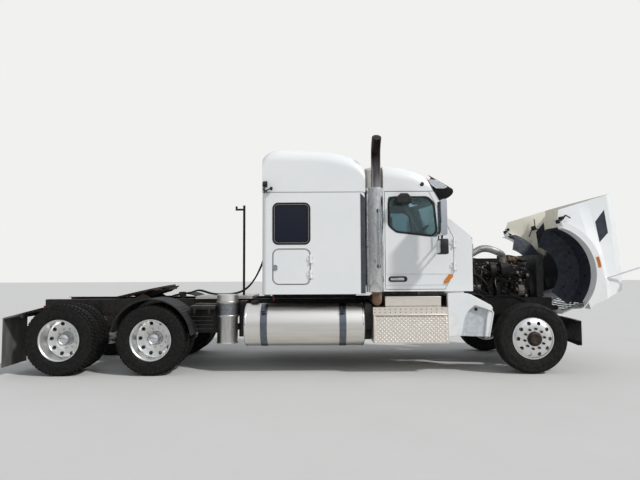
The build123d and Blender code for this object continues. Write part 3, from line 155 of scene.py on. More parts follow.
def plug(tree, socket, value):
    """Give a socket a value, a colour from its hex text, or a link to another node's socket."""
    if isinstance(value, bpy.types.NodeSocket):
        tree.links.new(value, socket)
    else:
        socket.default_value = hex_colour(value) if isinstance(value, str) else value


def add_node(tree, kind, *values, **named):
    """Add one shader node and fill its sockets, by order or by name."""
    made = tree.nodes.new("ShaderNode" + kind)
    sockets = dict(enumerate(values))
    for name, value in named.items():
        if name.islower():
            setattr(made, name, value)
        else:
            sockets[name.replace("_", " ")] = value
    for name, value in sockets.items():
        if value is not None:
            plug(tree, made.inputs[name], value)
    return made


# %% [markdown]
# The studio is plain: a pale floor and a pale background, one soft sun lamp from the front right above, as
# in the photograph, and an even sky that fills the shadows. Polished metal mirrors what surrounds it, so
# the sky turns greyer towards the ground for glossy rays, which gives chrome and aluminium their dark band.

# %% Studio
floor_tone = "C9C8C4"
sky_strength = 0.62
sun_strength = 2.3
sun_width = math.radians(5)
sun_way = Vector((-0.65, 0.45, -0.73))

world = bpy.data.worlds.new("studio sky")
world.use_nodes = True
bpy.context.scene.world = world
sky = world.node_tree
sky.nodes.clear()
rays = add_node(sky, "LightPath").outputs
direction = add_node(sky, "SeparateXYZ", add_node(sky, "NewGeometry").outputs["Position"]).outputs
shade = add_node(sky, "ValToRGB", direction["Z"])
for element, position, tone in zip(shade.color_ramp.elements, (0.0, 0.3), ("8A8E93", "F6F9FF")):
    element.position = position
    element.color = hex_colour(tone)
# The front of the sky is brighter than the back, so an upright cylinder is bright on one side only
front_light = add_node(sky, "MapRange", direction["X"], From_Min=-0.9, From_Max=0.7, To_Min=0.45, To_Max=1.15)
seen_by_glass = add_node(sky, "Math", rays["Is Glossy Ray"], rays["Is Transmission Ray"], operation="MAXIMUM")
even = add_node(sky, "Background", "F4F8FF", sky_strength)
mirrored = add_node(sky, "Background", shade.outputs[0], front_light.outputs[0])
backdrop = add_node(sky, "Background", "F1F1EF", 1.0)
with_gloss = add_node(sky, "MixShader", seen_by_glass.outputs[0], even.outputs[0], mirrored.outputs[0])
with_camera = add_node(sky, "MixShader", rays["Is Camera Ray"], with_gloss.outputs[0], backdrop.outputs[0])
add_node(sky, "OutputWorld", with_camera.outputs[0])

sun_data = bpy.data.lights.new("soft sun", "SUN")
sun_data.energy = sun_strength
sun_data.angle = sun_width
sun = bpy.data.objects.new("soft sun", sun_data)
sun.rotation_euler = sun_way.to_track_quat("-Z", "Y").to_euler()
scene_objects.link(sun)
bpy.context.scene.view_settings.view_transform = "Standard"

floor_mesh = bmesh.new()
bmesh.ops.create_grid(floor_mesh, x_segments=1, y_segments=1, size=60)
floor_data = bpy.data.meshes.new("floor")
floor_mesh.to_mesh(floor_data)
floor = bpy.data.objects.new("floor", floor_data)
scene_objects.link(floor)
floor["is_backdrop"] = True

# %% [markdown]
# A finish holds one material, and the name of one of the model's material slots. Its patterns read the Object
# coordinates, which are metres of the frame.

# %% Finishes


class Finish:
    """A new material with the tools that its patterns are made of."""

    def __init__(self, name, slot=None, **values):
        self.slot = slot
        self.material = bpy.data.materials.new(name)
        self.material.use_nodes = True
        self.tree = self.material.node_tree
        self.tree.nodes.clear()
        self.shader = self.node("BsdfPrincipled", **values)
        self.node("OutputMaterial", self.shader.outputs[0])
        self.place = self.node("TexCoord").outputs["Object"]

    def node(self, kind, *values, **named):
        """One more node of this material."""
        return add_node(self.tree, kind, *values, **named)

    def vector(self, operation, first, second=None):
        """What a step of vector maths gives."""
        outputs = self.node("VectorMath", first, second, operation=operation).outputs
        return outputs["Value" if operation in ("DOT_PRODUCT", "LENGTH") else "Vector"]

    def sum(self, first, second):
        """Two values added."""
        return self.node("Math", first, second, operation="ADD").outputs[0]

    def times(self, first, second):
        """Two values multiplied."""
        return self.node("Math", first, second, operation="MULTIPLY").outputs[0]

    def part(self, vector, letter):
        """One of the three numbers of a vector."""
        return self.node("SeparateXYZ", vector).outputs[letter]

    def upward(self, low, high):
        """How far a face looks up, spread from low to high."""
        return self.spread(self.part(self.node("NewGeometry").outputs["Normal"], "Z"), low, high)

    def speckle(self, size_mm, detail=4, stretch=(1, 1, 1)):
        """A noise whose blotches are about size_mm across, stretched along the axes by their shares."""
        placed = self.node("Mapping", Vector=self.place, Scale=[1 / share for share in stretch])
        return self.node("TexNoise", Vector=placed.outputs[0], Scale=1000 / size_mm, Detail=detail).outputs[0]

    def spread(self, value, low, high, to_low=0.0, to_high=1.0):
        """Maps a value's span from low to high onto another span, held at its ends."""
        return self.node("MapRange", value, low, high, to_low, to_high).outputs[0]

    def blotch(self, size_mm, detail, low, high, to_low=0.0, to_high=1.0):
        """A speckle with its span spread onto another."""
        return self.spread(self.speckle(size_mm, detail), low, high, to_low, to_high)

    def mixed(self, share, first, second):
        """Two colours mixed by a share."""
        mix = self.node("Mix", data_type="RGBA")
        for index, value in ((0, share), (6, first), (7, second)):
            plug(self.tree, mix.inputs[index], value)
        return mix.outputs[2]

    def feed(self, socket, value):
        """Gives the shader's socket a value or a pattern."""
        plug(self.tree, self.shader.inputs[socket], value)

    def bumped(self, relief, depth_mm, strength=1.0):
        """Raises the surface by a relief value, depth_mm from 0 to 1."""
        bump = self.node("Bump", Height=relief, Distance=mm(depth_mm), Strength=strength)
        self.feed("Normal", bump.outputs[0])


# %% [markdown]
# White cab enamel is a two-part polyurethane paint under a clear coat: a hard gloss with a faint ripple
# that painters call orange peel. Road film dulls it towards the bottom edges, so its roughness and colour
# drift there.

# %% White cab enamel


def enamel_tones(finish):
    """Two near whites in patches as wide as a door."""
    return finish.mixed(finish.blotch(700, 3, 0.3, 0.7), "E9EAE8", "E3E5E5")


white_enamel = Finish("white cab enamel", "white_paint", IOR=1.5, Coat_Weight=0.5, Coat_Roughness=0.06)
film_top, film_end, film_share = 1.1, 0.2, 0.35
film = white_enamel.spread(white_enamel.part(white_enamel.place, "Z"), film_top, film_end)
film = white_enamel.times(white_enamel.times(film, white_enamel.blotch(90, 6, 0.42, 0.68)), film_share)
white_enamel.feed("Base Color", white_enamel.mixed(film, enamel_tones(white_enamel), "9C9284"))
white_enamel.feed("Roughness", white_enamel.blotch(160, 5, 0.3, 0.7, 0.28, 0.42))
white_enamel.bumped(white_enamel.speckle(5, 2), 0.05, 0.25)

# %% [markdown]
# The hood is one moulded shell, painted outside and left raw inside, where the gelcoat has yellowed. Towards
# the front the inside is painted black, as painted shade deep in the hood. One material does both. A face is
# an inner one where its normal points towards the hood's middle line, and the hood's own length tells how
# much painted shade it takes.

# %% Hood shell: enamel outside, raw gelcoat inside, black painted shade at its front
hinge = at(680, 0, 898)
opened = math.radians(73)
hood_up = Vector((math.sin(opened), 0, math.cos(opened)))
hood_along = Vector((math.cos(opened), 0, -math.sin(opened)))
hood_finish = Finish("hood moulding", IOR=1.5, Coat_Weight=0.4, Coat_Roughness=0.08)
from_middle = hood_finish.vector("SUBTRACT", hood_finish.place, hinge + hood_up * 0.2)
own_normal = hood_finish.node("TexCoord").outputs["Normal"]


def outward_along(way):
    """Above zero where the surface looks away from the hood's middle, judged along one direction."""
    return hood_finish.times(hood_finish.vector("DOT_PRODUCT", from_middle, way),
                             hood_finish.vector("DOT_PRODUCT", own_normal, way))


outward = hood_finish.sum(outward_along(across), outward_along(hood_up))
# The lip round the wheel arch is painted too, and all of it lies within 0.79 m of the arch's middle
from_arch = hood_finish.vector("SUBTRACT", hood_finish.place, at(250, 0, 1446))
from_arch = hood_finish.vector("MULTIPLY", from_arch, (1, 0, 1))
off_lip = hood_finish.spread(hood_finish.vector("LENGTH", from_arch), 0.785, 0.79)
inner_share = hood_finish.times(off_lip, hood_finish.spread(outward, -0.1, -0.25))
reach = hood_finish.vector("DOT_PRODUCT", from_middle, hood_along)
# Towards the hood's front its inside turns black: this black is painted shade.
front_painted_shade = hood_finish.spread(hood_finish.sum(reach, hood_finish.speckle(180, 5)), -0.5, -0.2)
inside = hood_finish.mixed(front_painted_shade, "FBF5E4", "1B1C1F")
hood_finish.feed("Base Color", hood_finish.mixed(inner_share, enamel_tones(hood_finish), inside))
hood_finish.feed("Roughness", hood_finish.spread(inner_share, 0, 1, 0.34, 0.75))
hood_finish.bumped(hood_finish.speckle(5, 2), 0.05, 0.25)

# %% [markdown]
# Chassis parts carry black paint that never stays clean. Dust settles on what faces up, so the share of
# dust follows the surface's own upward normal, and blotches break it up.

# %% Black chassis paint, oily iron and rust


def dusty(name, slot, base, worn, dust, amount, roughness, grain_mm):
    """A rough part with two tones of its own and dust on its upward faces."""
    finish = Finish(name, slot, Metallic=0.0, Specular_IOR_Level=0.3)
    own = finish.mixed(finish.blotch(60, 6, 0.4, 0.65), base, worn)
    settled = finish.times(finish.times(finish.upward(-0.3, 1.0), finish.blotch(140, 5, 0.3, 0.75)), amount)
    finish.feed("Base Color", finish.mixed(settled, own, dust))
    finish.feed("Roughness", finish.blotch(45, 4, 0.3, 0.7, roughness - 0.12, roughness + 0.12))
    finish.bumped(finish.speckle(grain_mm, 4), 0.4, 0.5)
    return finish


chassis_black = dusty("black chassis paint", "black_paint", "17181A", "232220", "6E6556", 0.5, 0.5, 6)
oily_iron = dusty("oily cast iron", "cast_iron", "201C19", "3A2C22", "5B5044", 0.45, 0.55, 3)
rusty_iron = dusty("rusty exhaust iron", "exhaust_steel", "6B5546", "8A6E58", "4A3C32", 0.3, 0.8, 3)
mould_plastic = dusty("moulded black plastic", "black_plastic", "1B1C1D", "2A2A29", "6A6255", 0.35, 0.48, 1.5)
rubber_black = dusty("black rubber", "black_plastic", "151515", "222120", "5F574B", 0.3, 0.72, 2)
# This dark slate paints the stack's shadow on the sleeper's front corner.
stack_shadow_paint = dusty("slate grey plastic", "black_plastic", "3C4148", "464B52", "6A655C", 0.15, 0.55, 2)
liner_plastic = dusty("dusty liner plastic", "black_plastic", "20242B", "2C333E", "55606E", 0.35, 0.6, 2)
pale_plastic = dusty("aged reservoir plastic", "black_plastic", "A9A48F", "8C8671", "5B5044", 0.3, 0.45, 2)
engine_black = dusty("greasy engine iron", "cast_iron", "121110", "211C18", "4A4138", 0.4, 0.5, 3)
# This grey gelcoat is painted shade: it greys the lines of the door moulding and the channel of the quarter
# fenders.
shade_grey_gelcoat = dusty("dusty white gelcoat", "white_paint", "C4C8CB", "AEB4BA", "9C9284", 0.4, 0.5, 2)
cabin_grey = dusty("grey cabin trim", "cabin_trim", "6A6660", "77726B", "77726B", 0.1, 0.7, 1.2)
boot_vinyl = dusty("pale boot vinyl", "white_paint", "D5D2C8", "C6C2B6", "A79F90", 0.2, 0.6, 2)

# %% [markdown]
# The mudguards are black rubber that goes grey on the flaps behind the last axle. Tyre rubber is scuffed by
# gravel, and dust packs into its sidewall.

# %% Mudguards and tyres
mudguard_rubber = Finish("mudguard rubber, greyed on the flaps", Roughness=0.75)
flap_front, flap_start = front_axle - 7.3, front_axle - 7.45
behind = mudguard_rubber.spread(mudguard_rubber.part(mudguard_rubber.place, "X"), flap_front, flap_start)
streaks = mudguard_rubber.spread(mudguard_rubber.speckle(160, 6, (1, 1, 3)), 0.35, 0.7)
fender_tone = mudguard_rubber.mixed(mudguard_rubber.blotch(90, 5, 0.4, 0.75), "161718", "2E2D2B")
flap_tone = mudguard_rubber.mixed(streaks, "4E4E4C", "6F6E69")
mudguard_rubber.feed("Base Color", mudguard_rubber.mixed(behind, fender_tone, flap_tone))
mudguard_rubber.bumped(mudguard_rubber.speckle(4, 3), 0.5, 0.5)

tyre_rubber = Finish("tyre rubber", "tyre_rubber", Specular_IOR_Level=0.22)
scuff = tyre_rubber.times(tyre_rubber.blotch(35, 8, 0.38, 0.72), 0.35)
tyre_rubber.feed("Base Color", tyre_rubber.mixed(scuff, "0B0B0B", "3A3631"))
tyre_rubber.feed("Roughness", tyre_rubber.blotch(90, 4, 0.3, 0.7, 0.62, 0.85))
tyre_rubber.bumped(tyre_rubber.speckle(4, 3), 0.4, 0.5)

# %% [markdown]
# Metals differ by how their surface was made. Chrome plating is a mirror. Forged aluminium wheels and spun
# tanks are polished, but oxide and washing leave a haze, so their roughness wanders. Stainless sheet is
# brushed, and its fine lines run one way.

# %% Chrome, aluminium and stainless steel


def bare_metal(name, slot, tone, stain, low_gloss, high_gloss, stain_share, blotch_mm, stretch=(1, 1, 1)):
    """Bare metal whose haze and stain follow blotches, stretched where it was brushed."""
    finish = Finish(name, slot, Metallic=1.0)
    blotch = finish.speckle(blotch_mm, 6, stretch)
    stained = finish.times(finish.spread(blotch, 0.45, 0.75), stain_share)
    finish.feed("Base Color", finish.mixed(stained, tone, stain))
    finish.feed("Roughness", finish.spread(blotch, 0.3, 0.7, low_gloss, high_gloss))
    return finish


sheet, cast, polished = "brushed_aluminium", "cast_iron", "polished_aluminium"
along_x, along_z, upright = (14, 1, 1), (1, 1, 8), (1, 1, 2.5)
chrome = bare_metal("chrome plate", "chrome", "E8EAEC", "B4B6BA", 0.05, 0.14, 0.25, 120)
# The guard's dark upright mottle is painted reflection: it stands in for trees mirrored in its chrome.
guard_chrome_painted_reflection = bare_metal("weathered chrome guard", "chrome", "E6E6E4", "6E7074", 0.1, 0.36, 0.75, 45,
                          upright)
wheel_aluminium = bare_metal("forged wheel aluminium", polished, "E4E4E2", "A8A49C", 0.3, 0.44, 0.3, 160)
hub_chrome = bare_metal("hub cover chrome", polished, "D6D8DA", "A2A3A5", 0.16, 0.24, 0.3, 120)
tank_aluminium = bare_metal("polished tank aluminium", sheet, "E6E3DD", "B9B3A8", 0.34, 0.46, 0.3, 40,
                            along_x)
brushed_steel = bare_metal("brushed stainless sheet", sheet, "C6C5C2", "8C877E", 0.24, 0.42, 0.5, 30, along_z)
step_aluminium = bare_metal("rolled tread plate aluminium", sheet, "EDE6DC", "C4BBAE", 0.36, 0.5, 0.35, 90)
band_steel = bare_metal("dull canister steel", sheet, "8C8F93", "5C5E62", 0.35, 0.5, 0.6, 35)
strap_steel = bare_metal("coated strap steel", sheet, "70767F", "4C5056", 0.25, 0.4, 0.4, 50)
worn_steel = bare_metal("greasy bare steel", cast, "8F8B84", "3A332C", 0.3, 0.6, 0.9, 22)
pipe_aluminium = bare_metal("cast pipe aluminium", sheet, "A9A9A7", "6A655C", 0.35, 0.6, 0.6, 40)
brass_fitting = bare_metal("brass fitting", cast, "B08A4A", "6A5030", 0.3, 0.5, 0.5, 20)

# The visor is chrome on its upper faces, and the black of its downward faces is painted shade.
visor_chrome_and_painted_shade = Finish("visor, bright above and black below")
bright = visor_chrome_and_painted_shade.upward(-0.1, 0.1)
visor_chrome_and_painted_shade.feed("Base Color", visor_chrome_and_painted_shade.mixed(bright, "0C0D0E", "E2E4E6"))
visor_chrome_and_painted_shade.feed("Metallic", bright)
visor_chrome_and_painted_shade.feed("Roughness", visor_chrome_and_painted_shade.spread(bright, 0, 1, 0.85, 0.14))

heat_steel = Finish("heat stained steel, sooty at its top", "exhaust_steel", Metallic=0.95)
streaks = heat_steel.speckle(90, 5, (1, 1, 5))
soot = heat_steel.spread(heat_steel.part(heat_steel.place, "Z"), 2.75, 3.2)
own = heat_steel.mixed(heat_steel.spread(streaks, 0.42, 0.72), "A5A2A6", "4A423B")
heat_steel.feed("Base Color", heat_steel.mixed(soot, own, "2A231E"))
heat_steel.feed("Roughness", heat_steel.spread(streaks, 0.3, 0.7, 0.14, 0.3))

# %% [markdown]
# Side glass is tinted and laminated. It mirrors the sky a little and shows the cabin behind it darkly. Lamp
# lenses are clear or dyed acrylic with moulded flutes.

# %% Glass and lenses


def pane_glass(name, tone):
    """A pane of one tint, with a film of dust that dulls it in places."""
    finish = Finish(name, IOR=1.5, Transmission_Weight=0.95)
    finish.feed("Base Color", tone)
    finish.feed("Roughness", finish.blotch(200, 4, 0.4, 0.8, 0.02, 0.1))
    return finish


green_glass = pane_glass("green tinted glass", "AAC8CC")
dark_glass = pane_glass("windscreen and privacy glass", "D3E2E0")
sleeper_share = dark_glass.spread(dark_glass.part(dark_glass.place, "X"), front_axle - 2.1, front_axle - 2.2)
dark_glass.feed("Base Color", dark_glass.mixed(sleeper_share, "D3E2E0", "131A2C"))
dark_glass.feed("Transmission Weight", dark_glass.spread(sleeper_share, 0, 1, 0.95, 0.3))
mirror_glass = bare_metal("mirror glass", "dark_glass", "C8CCD0", "B0B4B8", 0.02, 0.05, 0.2, 200)


def lens(name, tones, flute_mm):
    """Dyed acrylic with upright flutes, flute_mm apart."""
    finish = Finish(name, "lamp_lens", IOR=1.49, Transmission_Weight=0.35, Roughness=0.12)
    waves = finish.node("TexWave", finish.place, 1000 / flute_mm / 3.14, 0.0, wave_type="BANDS")
    flutes = waves.outputs["Fac"]
    finish.feed("Base Color", finish.mixed(flutes, *tones))
    finish.bumped(flutes, 0.6, 0.6)
    return finish


clear_lens = lens("clear lamp lens", ("D5D9DC", "EDEFF0"), 18)
red_lens = lens("red lamp lens", ("8E1412", "A81B16"), 9)
amber_lens = lens("amber marker lens", ("E8862A", "F09A3C"), 9)

# %% [markdown]
# Every solid of the model gets its finish from one table, so that a finish is changed in one place. A solid
# keeps its own mesh; only its material slots are filled.

# %% Finishes of the solids
solid_finishes = {
    white_enamel: ["cab_shell", "cab_roof", "sleeper_shell", "sleeper_roof", "door_right", "door_left",
                   "luggage_door_right", "luggage_door_left", "quarter_fenders"],
    hood_finish: ["hood_shell"],
    liner_plastic: ["hood_liners"],
    engine_black: ["engine_block"],
    boot_vinyl: ["cab_boot"],
    mudguard_rubber: ["rear_mudguards"],
    chassis_black: ["frame_rails", "crossmembers", "bumper", "pogo_pole"],
    oily_iron: ["axles", "suspension", "hose_connectors", "fifth_wheel_base",
                "fifth_wheel_plate", "knuckle_right", "knuckle_left"],
    mould_plastic: ["radiator"],
    cabin_grey: ["cab_interior"],
    chrome: ["grille", "door_mirror_right", "door_mirror_left", "hood_mirrors"],
    visor_chrome_and_painted_shade: ["sun_visor"],
    tank_aluminium: ["fuel_tanks"],
    step_aluminium: ["step_boxes", "deck_plate"],
    strap_steel: ["tank_straps"],
    pipe_aluminium: ["charge_pipe"],
    heat_steel: ["exhaust_stack"],
    brushed_steel: ["aftertreatment"],
    wheel_aluminium: [name for name in nodes if name.startswith("wheel_")],
    tyre_rubber: [name for name in nodes if name.startswith("tyre")],
    rubber_black: ["hose_right", "hose_left"],
    dark_glass: ["fixed_glass"],
    green_glass: ["door_glass_right", "door_glass_left"],
    clear_lens: ["headlamps"],
    red_lens: ["tail_lamps"],
}
for finish, names in solid_finishes.items():
    for name in names:
        nodes[name].data.materials.clear()
        nodes[name].data.materials.append(finish.material)
unfinished = set(nodes) - {name for names in solid_finishes.values() for name in names}
print("solids without a finish:", sorted(unfinished))

floor_paint = Finish("studio floor", Roughness=0.9)
floor_paint.feed("Base Color", floor_paint.mixed(floor_paint.speckle(900, 3), floor_tone, "C3C2BE"))
floor.data.materials.append(floor_paint.material)

# %% [markdown]
# The air lines are rubber hoses of 26 mm. A hose is one smooth curve, and the list of points that steers it
# is the one that the hose's solid follows, so both lie in the same place. The curve is a NURBS of order
# three that ends at its first and last points.

# %% Air lines
hose_diameter = 26
hose_routes = {
    "hose_right": [
        (-3960, -200, 1975), (-3960, -200, 1865), (-3985, -203, 1740), (-4030, -208, 1610),
        (-4085, -214, 1480), (-4150, -222, 1355), (-4235, -230, 1240), (-4345, -236, 1160),
        (-4480, -236, 1124), (-4620, -228, 1116), (-4755, -214, 1118), (-4870, -198, 1130),
        (-4970, -184, 1160), (-5065, -172, 1186), (-5155, -164, 1168), (-5238, -160, 1134),
        (-5313, -160, 1134)],
    "hose_left": [
        (-3960, -80, 1975), (-3960, -80, 1860), (-3990, -79, 1730), (-4040, -76, 1600), (-4100, -73, 1475),
        (-4170, -74, 1352), (-4260, -80, 1240), (-4375, -90, 1162), (-4510, -100, 1125), (-4650, -104, 1116),
        (-4785, -98, 1119), (-4895, -86, 1134), (-4990, -75, 1166), (-5080, -67, 1190), (-5165, -62, 1169),
        (-5240, -60, 1134), (-5313, -60, 1134)],
}


def smooth_tube(name, points, radius_m, rings=6):
    """A tube on one open NURBS spline of order three with these control points."""
    curve = bpy.data.curves.new(name, "CURVE")
    curve.dimensions = "3D"
    curve.bevel_depth = radius_m
    curve.bevel_resolution = 4
    curve.resolution_u = rings
    curve.use_fill_caps = True
    spline = curve.splines.new("NURBS")
    spline.points.add(len(points) - 1)
    for control, point in zip(spline.points, points):
        control.co = (*point, 1)
    spline.order_u = 3
    spline.use_endpoint_u = True
    tube = bpy.data.objects.new(name, curve)
    scene_objects.link(tube)
    return tube


for node, route in hose_routes.items():
    points = [at(*point) for point in route]
    hose = smooth_tube("air_line_" + node.split("_")[1], points, mm(hose_diameter) / 2)
    hose.data.materials.append(rubber_black.material)
    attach(hose, "chassis")
    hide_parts(node)

# %% [markdown]
# New pieces are modelled with bmesh, Blender's editable mesh in memory. A with block opens a mesh, the
# helpers draw on it, and at its end the mesh is a finished piece that rides on a body. Parts of the hood
# are drawn on the closed hood, and parts of the fifth wheel on a level plate. They are then turned to where
# these rest.

# %% Modelling helpers
plate_pivot = at(-5900, 0, 1130)
rest_turns = {"hood": (hinge, Matrix.Rotation(opened, 3, "Y")),
              "fifth_wheel": (plate_pivot, Matrix.Rotation(-math.radians(12.2), 3, "Y"))}


@contextmanager
def piece(name, finish, body="chassis", slot=None, replaces=None, sharp_angle=35):
    """Opens a mesh to draw on, and makes it a piece of a body that may stand for one of the solids."""
    global bm
    bm = bmesh.new()
    yield
    if body in rest_turns:
        centre, turn = rest_turns[body]
        bmesh.ops.rotate(bm, cent=centre, matrix=turn, verts=bm.verts)
    bmesh.ops.remove_doubles(bm, verts=bm.verts, dist=1e-6)
    bmesh.ops.recalc_face_normals(bm, faces=bm.faces)
    mesh = bpy.data.meshes.new(name)
    bm.to_mesh(mesh)
    bm.free()
    mesh.shade_smooth()
    mesh.set_sharp_from_angle(angle=math.radians(sharp_angle))
    mesh.materials.append(finish.material)
    made = bpy.data.objects.new(name, mesh)
    scene_objects.link(made)
    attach(made, body)
    if replaces:
        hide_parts(replaces)


def block(low, high, soft=0, along=None):
    """A box between two corners with softened edges: all of them, or those that run along axis 0, 1 or 2."""
    corners = list(zip(low, high))
    a, b = at(*map(min, corners)), at(*map(max, corners))
    size = Matrix.Diagonal((*(b - a), 1))
    made = bmesh.ops.create_cube(bm, size=1, matrix=Matrix.Translation((a + b) / 2) @ size)
    edges = list({edge for vertex in made["verts"] for edge in vertex.link_edges})
    if along is not None:
        ways = [(edge.verts[0].co - edge.verts[1].co).normalized() for edge in edges]
        edges = [edge for edge, way in zip(edges, ways) if abs(way[along]) > 0.99]
    if soft:
        bmesh.ops.bevel(bm, geom=edges, offset=mm(soft), affect="EDGES", segments=2 if along is None else 6,
                        profile=0.5, material=-1)


def bar(start, end, radius, sides=14):
    """A round bar between two places, with its radius in millimetres."""
    start, end = spot(start), spot(end)
    turn = (end - start).to_track_quat("Z", "Y").to_matrix().to_4x4()
    bmesh.ops.create_cone(bm, cap_ends=True, segments=sides, radius1=mm(radius), radius2=mm(radius),
                          depth=(end - start).length, matrix=Matrix.Translation((start + end) / 2) @ turn)


def lathe(profile, centre, axis, steps):
    """Spins (distance along the axis, radius) pairs about an axis through centre."""
    centre, axis = spot(centre), Vector(axis).normalized()
    out = axis.orthogonal().normalized()
    ring = [bm.verts.new(centre + axis * mm(along) + out * mm(radius)) for along, radius in profile]
    edges = [bm.edges.new(pair) for pair in zip(ring, ring[1:] + ring[:1])]
    bmesh.ops.spin(bm, geom=ring + edges, cent=centre, axis=axis, dvec=(0, 0, 0), angle=math.tau, steps=steps,
                   use_merge=True)


def washer(start, end, inner, outer, centre, axis, steps):
    """A plain ring from start to end along an axis."""
    lathe([(start, inner), (start, outer), (end, outer), (end, inner)], centre, axis, steps)


def hex_ring(centre, axis, radius, count, size, height, stud=0):
    """A ring of hexagon heads about an axis, with the ends of their studs showing."""
    out = axis.orthogonal().normalized()
    for step in range(count):
        foot = centre + Matrix.Rotation(math.tau * step / count, 3, axis) @ out * mm(radius)
        bar(foot, foot + axis * mm(height), size / 2, 6)
        if stud:
            bar(foot, foot + axis * mm(height + stud), size * 0.3, 8)


def pipe(points, radius):
    """A pipe or a wire of one radius in millimetres, on a smooth line through a few places."""
    tube = smooth_tube("guide", [at(*point) for point in points], mm(radius))
    mesh = bpy.data.meshes.new_from_object(tube.evaluated_get(bpy.context.evaluated_depsgraph_get()))
    bpy.data.objects.remove(tube)
    bm.from_mesh(mesh)
    bpy.data.meshes.remove(mesh)


# %% [markdown]
# A truck tyre's look is in its tread. The steering tyres have five ribs with straight grooves between them,
# and the drive tyres have rows of blocks that bite. Both are crowned: the tread's radius falls a little
# towards its edges. A lathe spins the carcass, and the blocks are one small cube turned round the axle many
# times.

# %% Tyres
tyre_radius, tread_edge, crown_drop, groove_depth = 510, 124.5, 15, 14
groove_middles = [84, 34, -34, -84]
half_carcass = [(115, 291), (116, 302), (127, 312), (133, 330), (140, 362), (142.3, 395), (141, 430),
                (138, 450), (140, 455), (137, 468), (132, 486)]
# Rows of blocks: distance from the tyre's middle, width, share of a step that the row is turned
block_rows = [(-100, 46, 0.0), (-27, 42, 0.5), (27, 42, 0.0), (100, 46, 0.5)]
block_count, block_length, block_height, block_lean = 54, 43, 18, 9
floor_edge = 119


def tread_radius(off_middle):
    """The tread's radius at a distance from the tyre's middle."""
    return tyre_radius - crown_drop * (off_middle / tread_edge) ** 2


rib_tread = [(tread_edge, tread_radius(tread_edge))]
for middle in groove_middles:
    for offset, drop in ((6, 0), (4, groove_depth), (-4, groove_depth), (-6, 0)):
        rib_tread.append((middle + offset, tread_radius(middle + offset) - drop))
rib_tread.append((-tread_edge, tread_radius(tread_edge)))
block_tread = [(off, tread_radius(off) - groove_depth) for off in (floor_edge, 0, -floor_edge)]


def carcass(centre, tread):
    """One tyre about an axle that runs across the truck."""
    far_half = [(-off, radius) for off, radius in reversed(half_carcass)]
    lathe(half_carcass + tread + far_half, centre, across, 72)


def tread_blocks(centre):
    """Four rows of blocks round one tyre."""
    for off, width, turn_share in block_rows:
        seat = Matrix.Translation((0, mm(off), mm(tread_radius(off) - block_height / 2)))
        skew = Matrix.Rotation(math.radians(math.copysign(block_lean, off)), 4, "Z")
        size = Matrix.Diagonal((mm(block_length), mm(width), mm(block_height), 1))
        for step in range(block_count):
            turn = Matrix.Rotation(math.tau * (step + turn_share) / block_count, 4, "Y")
            bmesh.ops.create_cube(bm, size=1, matrix=Matrix.Translation(centre) @ turn @ seat @ skew @ size)


dual_offset = 167
dual_places = ["middle_right", "middle_left", "rear_right", "rear_left"]
for side in hands:
    with piece("steer_tyre_" + side, tyre_rubber, "wheel_front_" + side, replaces="tyre_front_" + side):
        carcass(joint_places["spin_front_" + side], rib_tread)
for name in dual_places:
    with piece("drive_tyres_" + name, tyre_rubber, "wheels_" + name, replaces="tyres_" + name):
        for offset in (-dual_offset, dual_offset):
            middle = joint_places["spin_" + name] + Vector((0, mm(offset), 0))
            carcass(middle, block_tread)
            tread_blocks(middle)

# %% [markdown]
# Disc wheels are held by ten nuts each. The steering wheels show a greasy hub with its cover screws, and
# the drive wheels a bright dome over the axle's flange. Nuts and screws are hexagon bars on a circle.

# %% Hubs and wheel nuts
nut_circle, nut_size, nut_height = 142.9, 36, 26
front_disc_y, dual_disc_y = 1227, 941
hub_profile = [(0, 60), (6, 106), (16, 104), (24, 82), (50, 79), (54, 74), (54, 52), (51, 48), (51, 0),
               (0, 0)]
dome_profile = [(0, 104), (12, 104), (18, 97), (96, 95), (122, 90), (142, 76), (156, 52), (162, 26),
                (164, 0), (0, 0)]


def disc_face(joint, hand, disc_y):
    """The middle of a disc wheel's outer face."""
    middle = joint_places[joint]
    return Vector((middle.x, hand * mm(disc_y), middle.z))


for side, hand in hands.items():
    face = disc_face("spin_front_" + side, hand, front_disc_y)
    way, body = Vector((0, hand, 0)), "wheel_front_" + side
    with piece("steer_nuts_" + side, oily_iron, body, polished):
        hex_ring(face, way, nut_circle, 10, nut_size, nut_height, stud=12)
    with piece("steer_hub_cover_" + side, oily_iron, body):
        lathe(hub_profile, face, way, 48)
        hex_ring(face + way * mm(48), way, 64, 8, 17, 12)

for name in dual_places:
    hand = hands[name.split("_")[1]]
    face = disc_face("spin_" + name, hand, dual_disc_y)
    way, body = Vector((0, hand, 0)), "wheels_" + name
    with piece("drive_nuts_" + name, wheel_aluminium, body):
        hex_ring(face, way, nut_circle, 10, nut_size, nut_height, stud=14)
    with piece("hub_dome_" + name, hub_chrome, body):
        lathe(dome_profile, face, way, 48)

# %% [markdown]
# Gaskets, panels and handles on flat sides are drawn as side-view outlines. One helper rounds the corners
# of an outline, one moves it inwards, and two more raise it into a plate or a frame at some distance off
# the centre line.

# %% Outlines on the sides


def rounded(corners, radius, steps=5):
    """The outline with an arc of this radius at each corner, or a smaller one where the sides are short."""
    points = []
    for index, corner in enumerate(corners):
        corner = Vector(corner)
        before = Vector(corners[index - 1]) - corner
        after = Vector(corners[(index + 1) % len(corners)]) - corner
        half_turn = before.angle(after) / 2
        reach = min(radius / math.tan(half_turn), before.length * 0.49, after.length * 0.49)
        inward = (before.normalized() + after.normalized()).normalized()
        middle = corner + inward * reach * math.tan(half_turn) / math.sin(half_turn)
        first = corner + before.normalized() * reach - middle
        last = corner + after.normalized() * reach - middle
        swing = first.angle_signed(last)
        turns = [Matrix.Rotation(-swing * step / steps, 2) for step in range(steps + 1)]
        points += [tuple(middle + turn @ first) for turn in turns]
    return points


